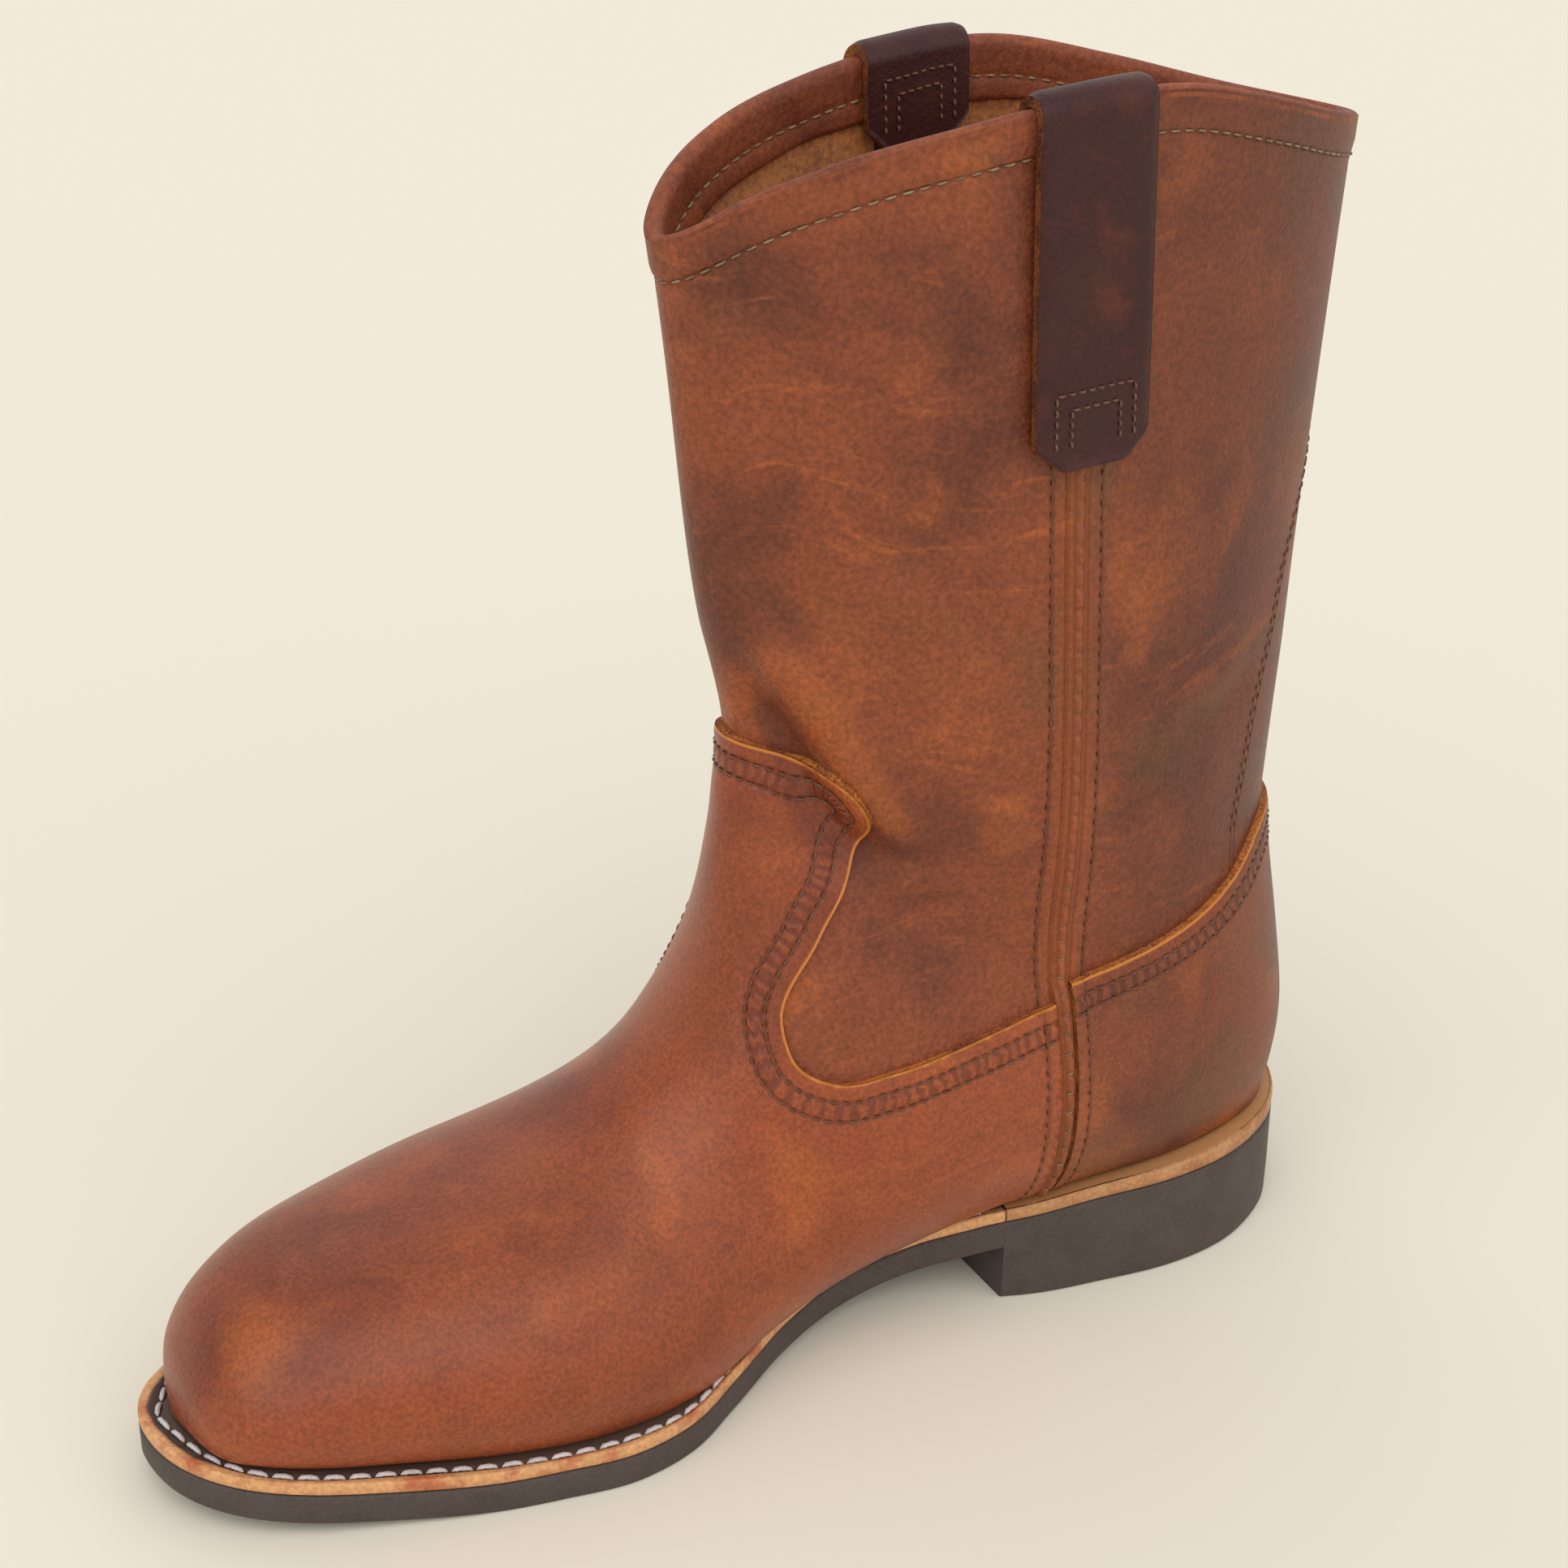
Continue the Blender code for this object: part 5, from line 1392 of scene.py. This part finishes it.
class BootColours(bpy.types.PropertyGroup):
    """Colours of the boot's finish."""
    mid: colour("Leather", "8B472A", "Middle brown of the shaft")
    # Also the painted shade behind the seam, in crease troughs, along the rows' grooves and in the quilting's hollows
    dark: colour("Leather, dark", "4A241C", "Oil-dark patches of the shaft")
    warm: colour("Leather, pulled", "B4602C", "Warm tone where the leather is pulled or rubbed")
    olive: colour("Leather, olive", "6E4A2A", "Olive cast of the shaft")
    foot: colour("Foot leather", "984A28", "Redder brown of the foot")
    # Also the painted shade of the vamp in crease troughs, along the rows' grooves and in the quilting's hollows
    foot_dark: colour("Foot leather, dark", "652C1C", "Dark patches of the foot")
    strap: colour("Strap", "3C1816", "Dark brown of the pull straps")
    cut: colour("Cut edge", "C97A30", "Raw cut edges")
    suede: colour("Suede", "D2802F", "Light tone of the flesh side")
    suede_dark: colour("Suede, dark", "9C5520", "Dark tone of the flesh side")
    welt_edge: colour("Welt edge", "DCA26C", "Natural edge of the welt")
    welt_red: colour("Welt burnish", "B5552E", "Red burnish on the welt's edge")
    welt_top: colour("Welt top", "4A362C", "Dark top of the welt beside the upper")
    welt_thread: colour("Welt thread", "DAD2CF", "Lock stitches of the welt")
    lilac: colour("Welt thread, shade", "B9AFB4", "Shade between the plies of the lock stitches")
    thread: colour("Thread", "6B5238", "Thread of the upper")
    collar_thread: colour("Collar thread", "9A8A66", "Thread of the collar")
    rand: colour("Rand", "C08A58", "Rand round the heel seat")
    rand_dark: colour("Rand, dark", "A8693E", "Dark tone of the rand")
    rubber: colour("Rubber", "4F443F", "Outsole and heel")
    rubber_dark: colour("Rubber, dark", "433833", "Worn tone of the outsole and heel")
    tape: colour("Tape", "3A3A2A", "Tape inside the side seams")
    floor: colour("Floor", "EFE8D8", "Backdrop paper")


class PieceOperator:
    """What the boot's operators share."""
    bl_options = {"REGISTER", "UNDO"}

    def execute(self, context):
        """Makes the piece."""
        self.make()
        return {"FINISHED"}


class MakeUpper(PieceOperator, bpy.types.Operator):
    """Shaft and foot leather with the suede inside"""
    bl_idname = "boot.upper"
    bl_label = "Upper"

    def make(self):
        """Outer face, inner face and the thread rows of the shaft."""
        make_upper()
        make_shaft_rows()


class MakeVamp(PieceOperator, bpy.types.Operator):
    """Overlay over toe, ball and instep, with its tongue"""
    bl_idname = "boot.vamp"
    bl_label = "Vamp"

    def make(self):
        """Leather, cut edge and thread rows."""
        make_overlay("vamp_leather", VAMP_EDGE, 1, world_x(1.2), "vamp", "foot")


class MakeCounter(PieceOperator, bpy.types.Operator):
    """Overlay round the heel"""
    bl_idname = "boot.counter"
    bl_label = "Counter"

    def make(self):
        """Leather, cut edge and thread rows."""
        make_overlay("counter_leather", COUNTER_EDGE, -1, world_x(-0.2), "counter", "heel")


class MakeSeams(PieceOperator, bpy.types.Operator):
    """Raised seams up both sides"""
    bl_idname = "boot.side_seams"
    bl_label = "Side seams"

    def make(self):
        """Cords and their cross threads."""
        make_seams()


class MakeCollar(PieceOperator, bpy.types.Operator):
    """Turned collar with its facing, and the tapes inside"""
    bl_idname = "boot.collar"
    bl_label = "Collar"

    def make(self):
        """Turned rim, facing, thread row and tapes."""
        make_collar()
        make_tapes()


class MakeStraps(PieceOperator, bpy.types.Operator):
    """Pull straps over the collar on both sides"""
    bl_idname = "boot.straps"
    bl_label = "Pull straps"

    def make(self):
        """Both straps with their thread boxes."""
        make_strap("strap_medial", "pull_strap_medial", 1)
        make_strap("strap_lateral", "pull_strap_lateral", -1)


class MakeWelt(PieceOperator, bpy.types.Operator):
    """Welt with its lock stitches, and the rand round the heel"""
    bl_idname = "boot.welt"
    bl_label = "Welt and rand"

    def make(self):
        """Both strips."""
        line = HEEL_LENGTH / SOLE_LENGTH
        half = GAP / 2 / SOLE_LENGTH
        make_strip("welt_strip", "welt", turn_at(line + half), 1.0, True)
        make_strip("rand_strip", "heel_rand", 0.0, turn_at(line - half), False)


class MakeSole(PieceOperator, bpy.types.Operator):
    """Rubber outsole with its heel block, and the insole"""
    bl_idname = "boot.sole"
    bl_label = "Outsole and insole"

    def make(self):
        """Outsole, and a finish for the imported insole."""
        make_outsole()
        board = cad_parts["insole"]
        board.data.materials.clear()
        board.data.materials.append(finish("insole"))


class MakeStage(PieceOperator, bpy.types.Operator):
    """Floor, light and camera"""
    bl_idname = "boot.stage"
    bl_label = "Stage"

    def make(self):
        """The studio."""
        make_stage()


OPERATORS = (MakeUpper, MakeVamp, MakeCounter, MakeSeams, MakeCollar, MakeStraps, MakeWelt, MakeSole, MakeStage)


class BootPanel(bpy.types.Panel):
    """The boot's sizes, colours and pieces"""
    bl_idname = "VIEW3D_PT_boot"
    bl_label = "Western work boot"
    bl_space_type = "VIEW_3D"
    bl_region_type = "UI"
    bl_category = "Boot"

    def draw(self, context):
        """Lists the settings and the operators."""
        for group in (context.scene.boot_sizes, context.scene.boot_colours):
            column = self.layout.column()
            for key in group.__annotations__:
                column.prop(group, key)
        for operator in OPERATORS:
            self.layout.operator(operator.bl_idname)


CLASSES = (BootSizes, BootColours, *OPERATORS, BootPanel)


def register():
    """Adds the boot's classes and settings."""
    for made in CLASSES:
        bpy.utils.register_class(made)
    bpy.types.Scene.boot_sizes = bpy.props.PointerProperty(type=BootSizes)
    bpy.types.Scene.boot_colours = bpy.props.PointerProperty(type=BootColours)


def unregister():
    """Takes them away."""
    del bpy.types.Scene.boot_colours
    del bpy.types.Scene.boot_sizes
    for made in reversed(CLASSES):
        bpy.utils.unregister_class(made)


def main():
    """Makes every piece and the stage."""
    register()
    for operator in OPERATORS:
        getattr(bpy.ops.boot, operator.bl_idname.split(".")[1])()


if __name__ == "__main__":
    main()
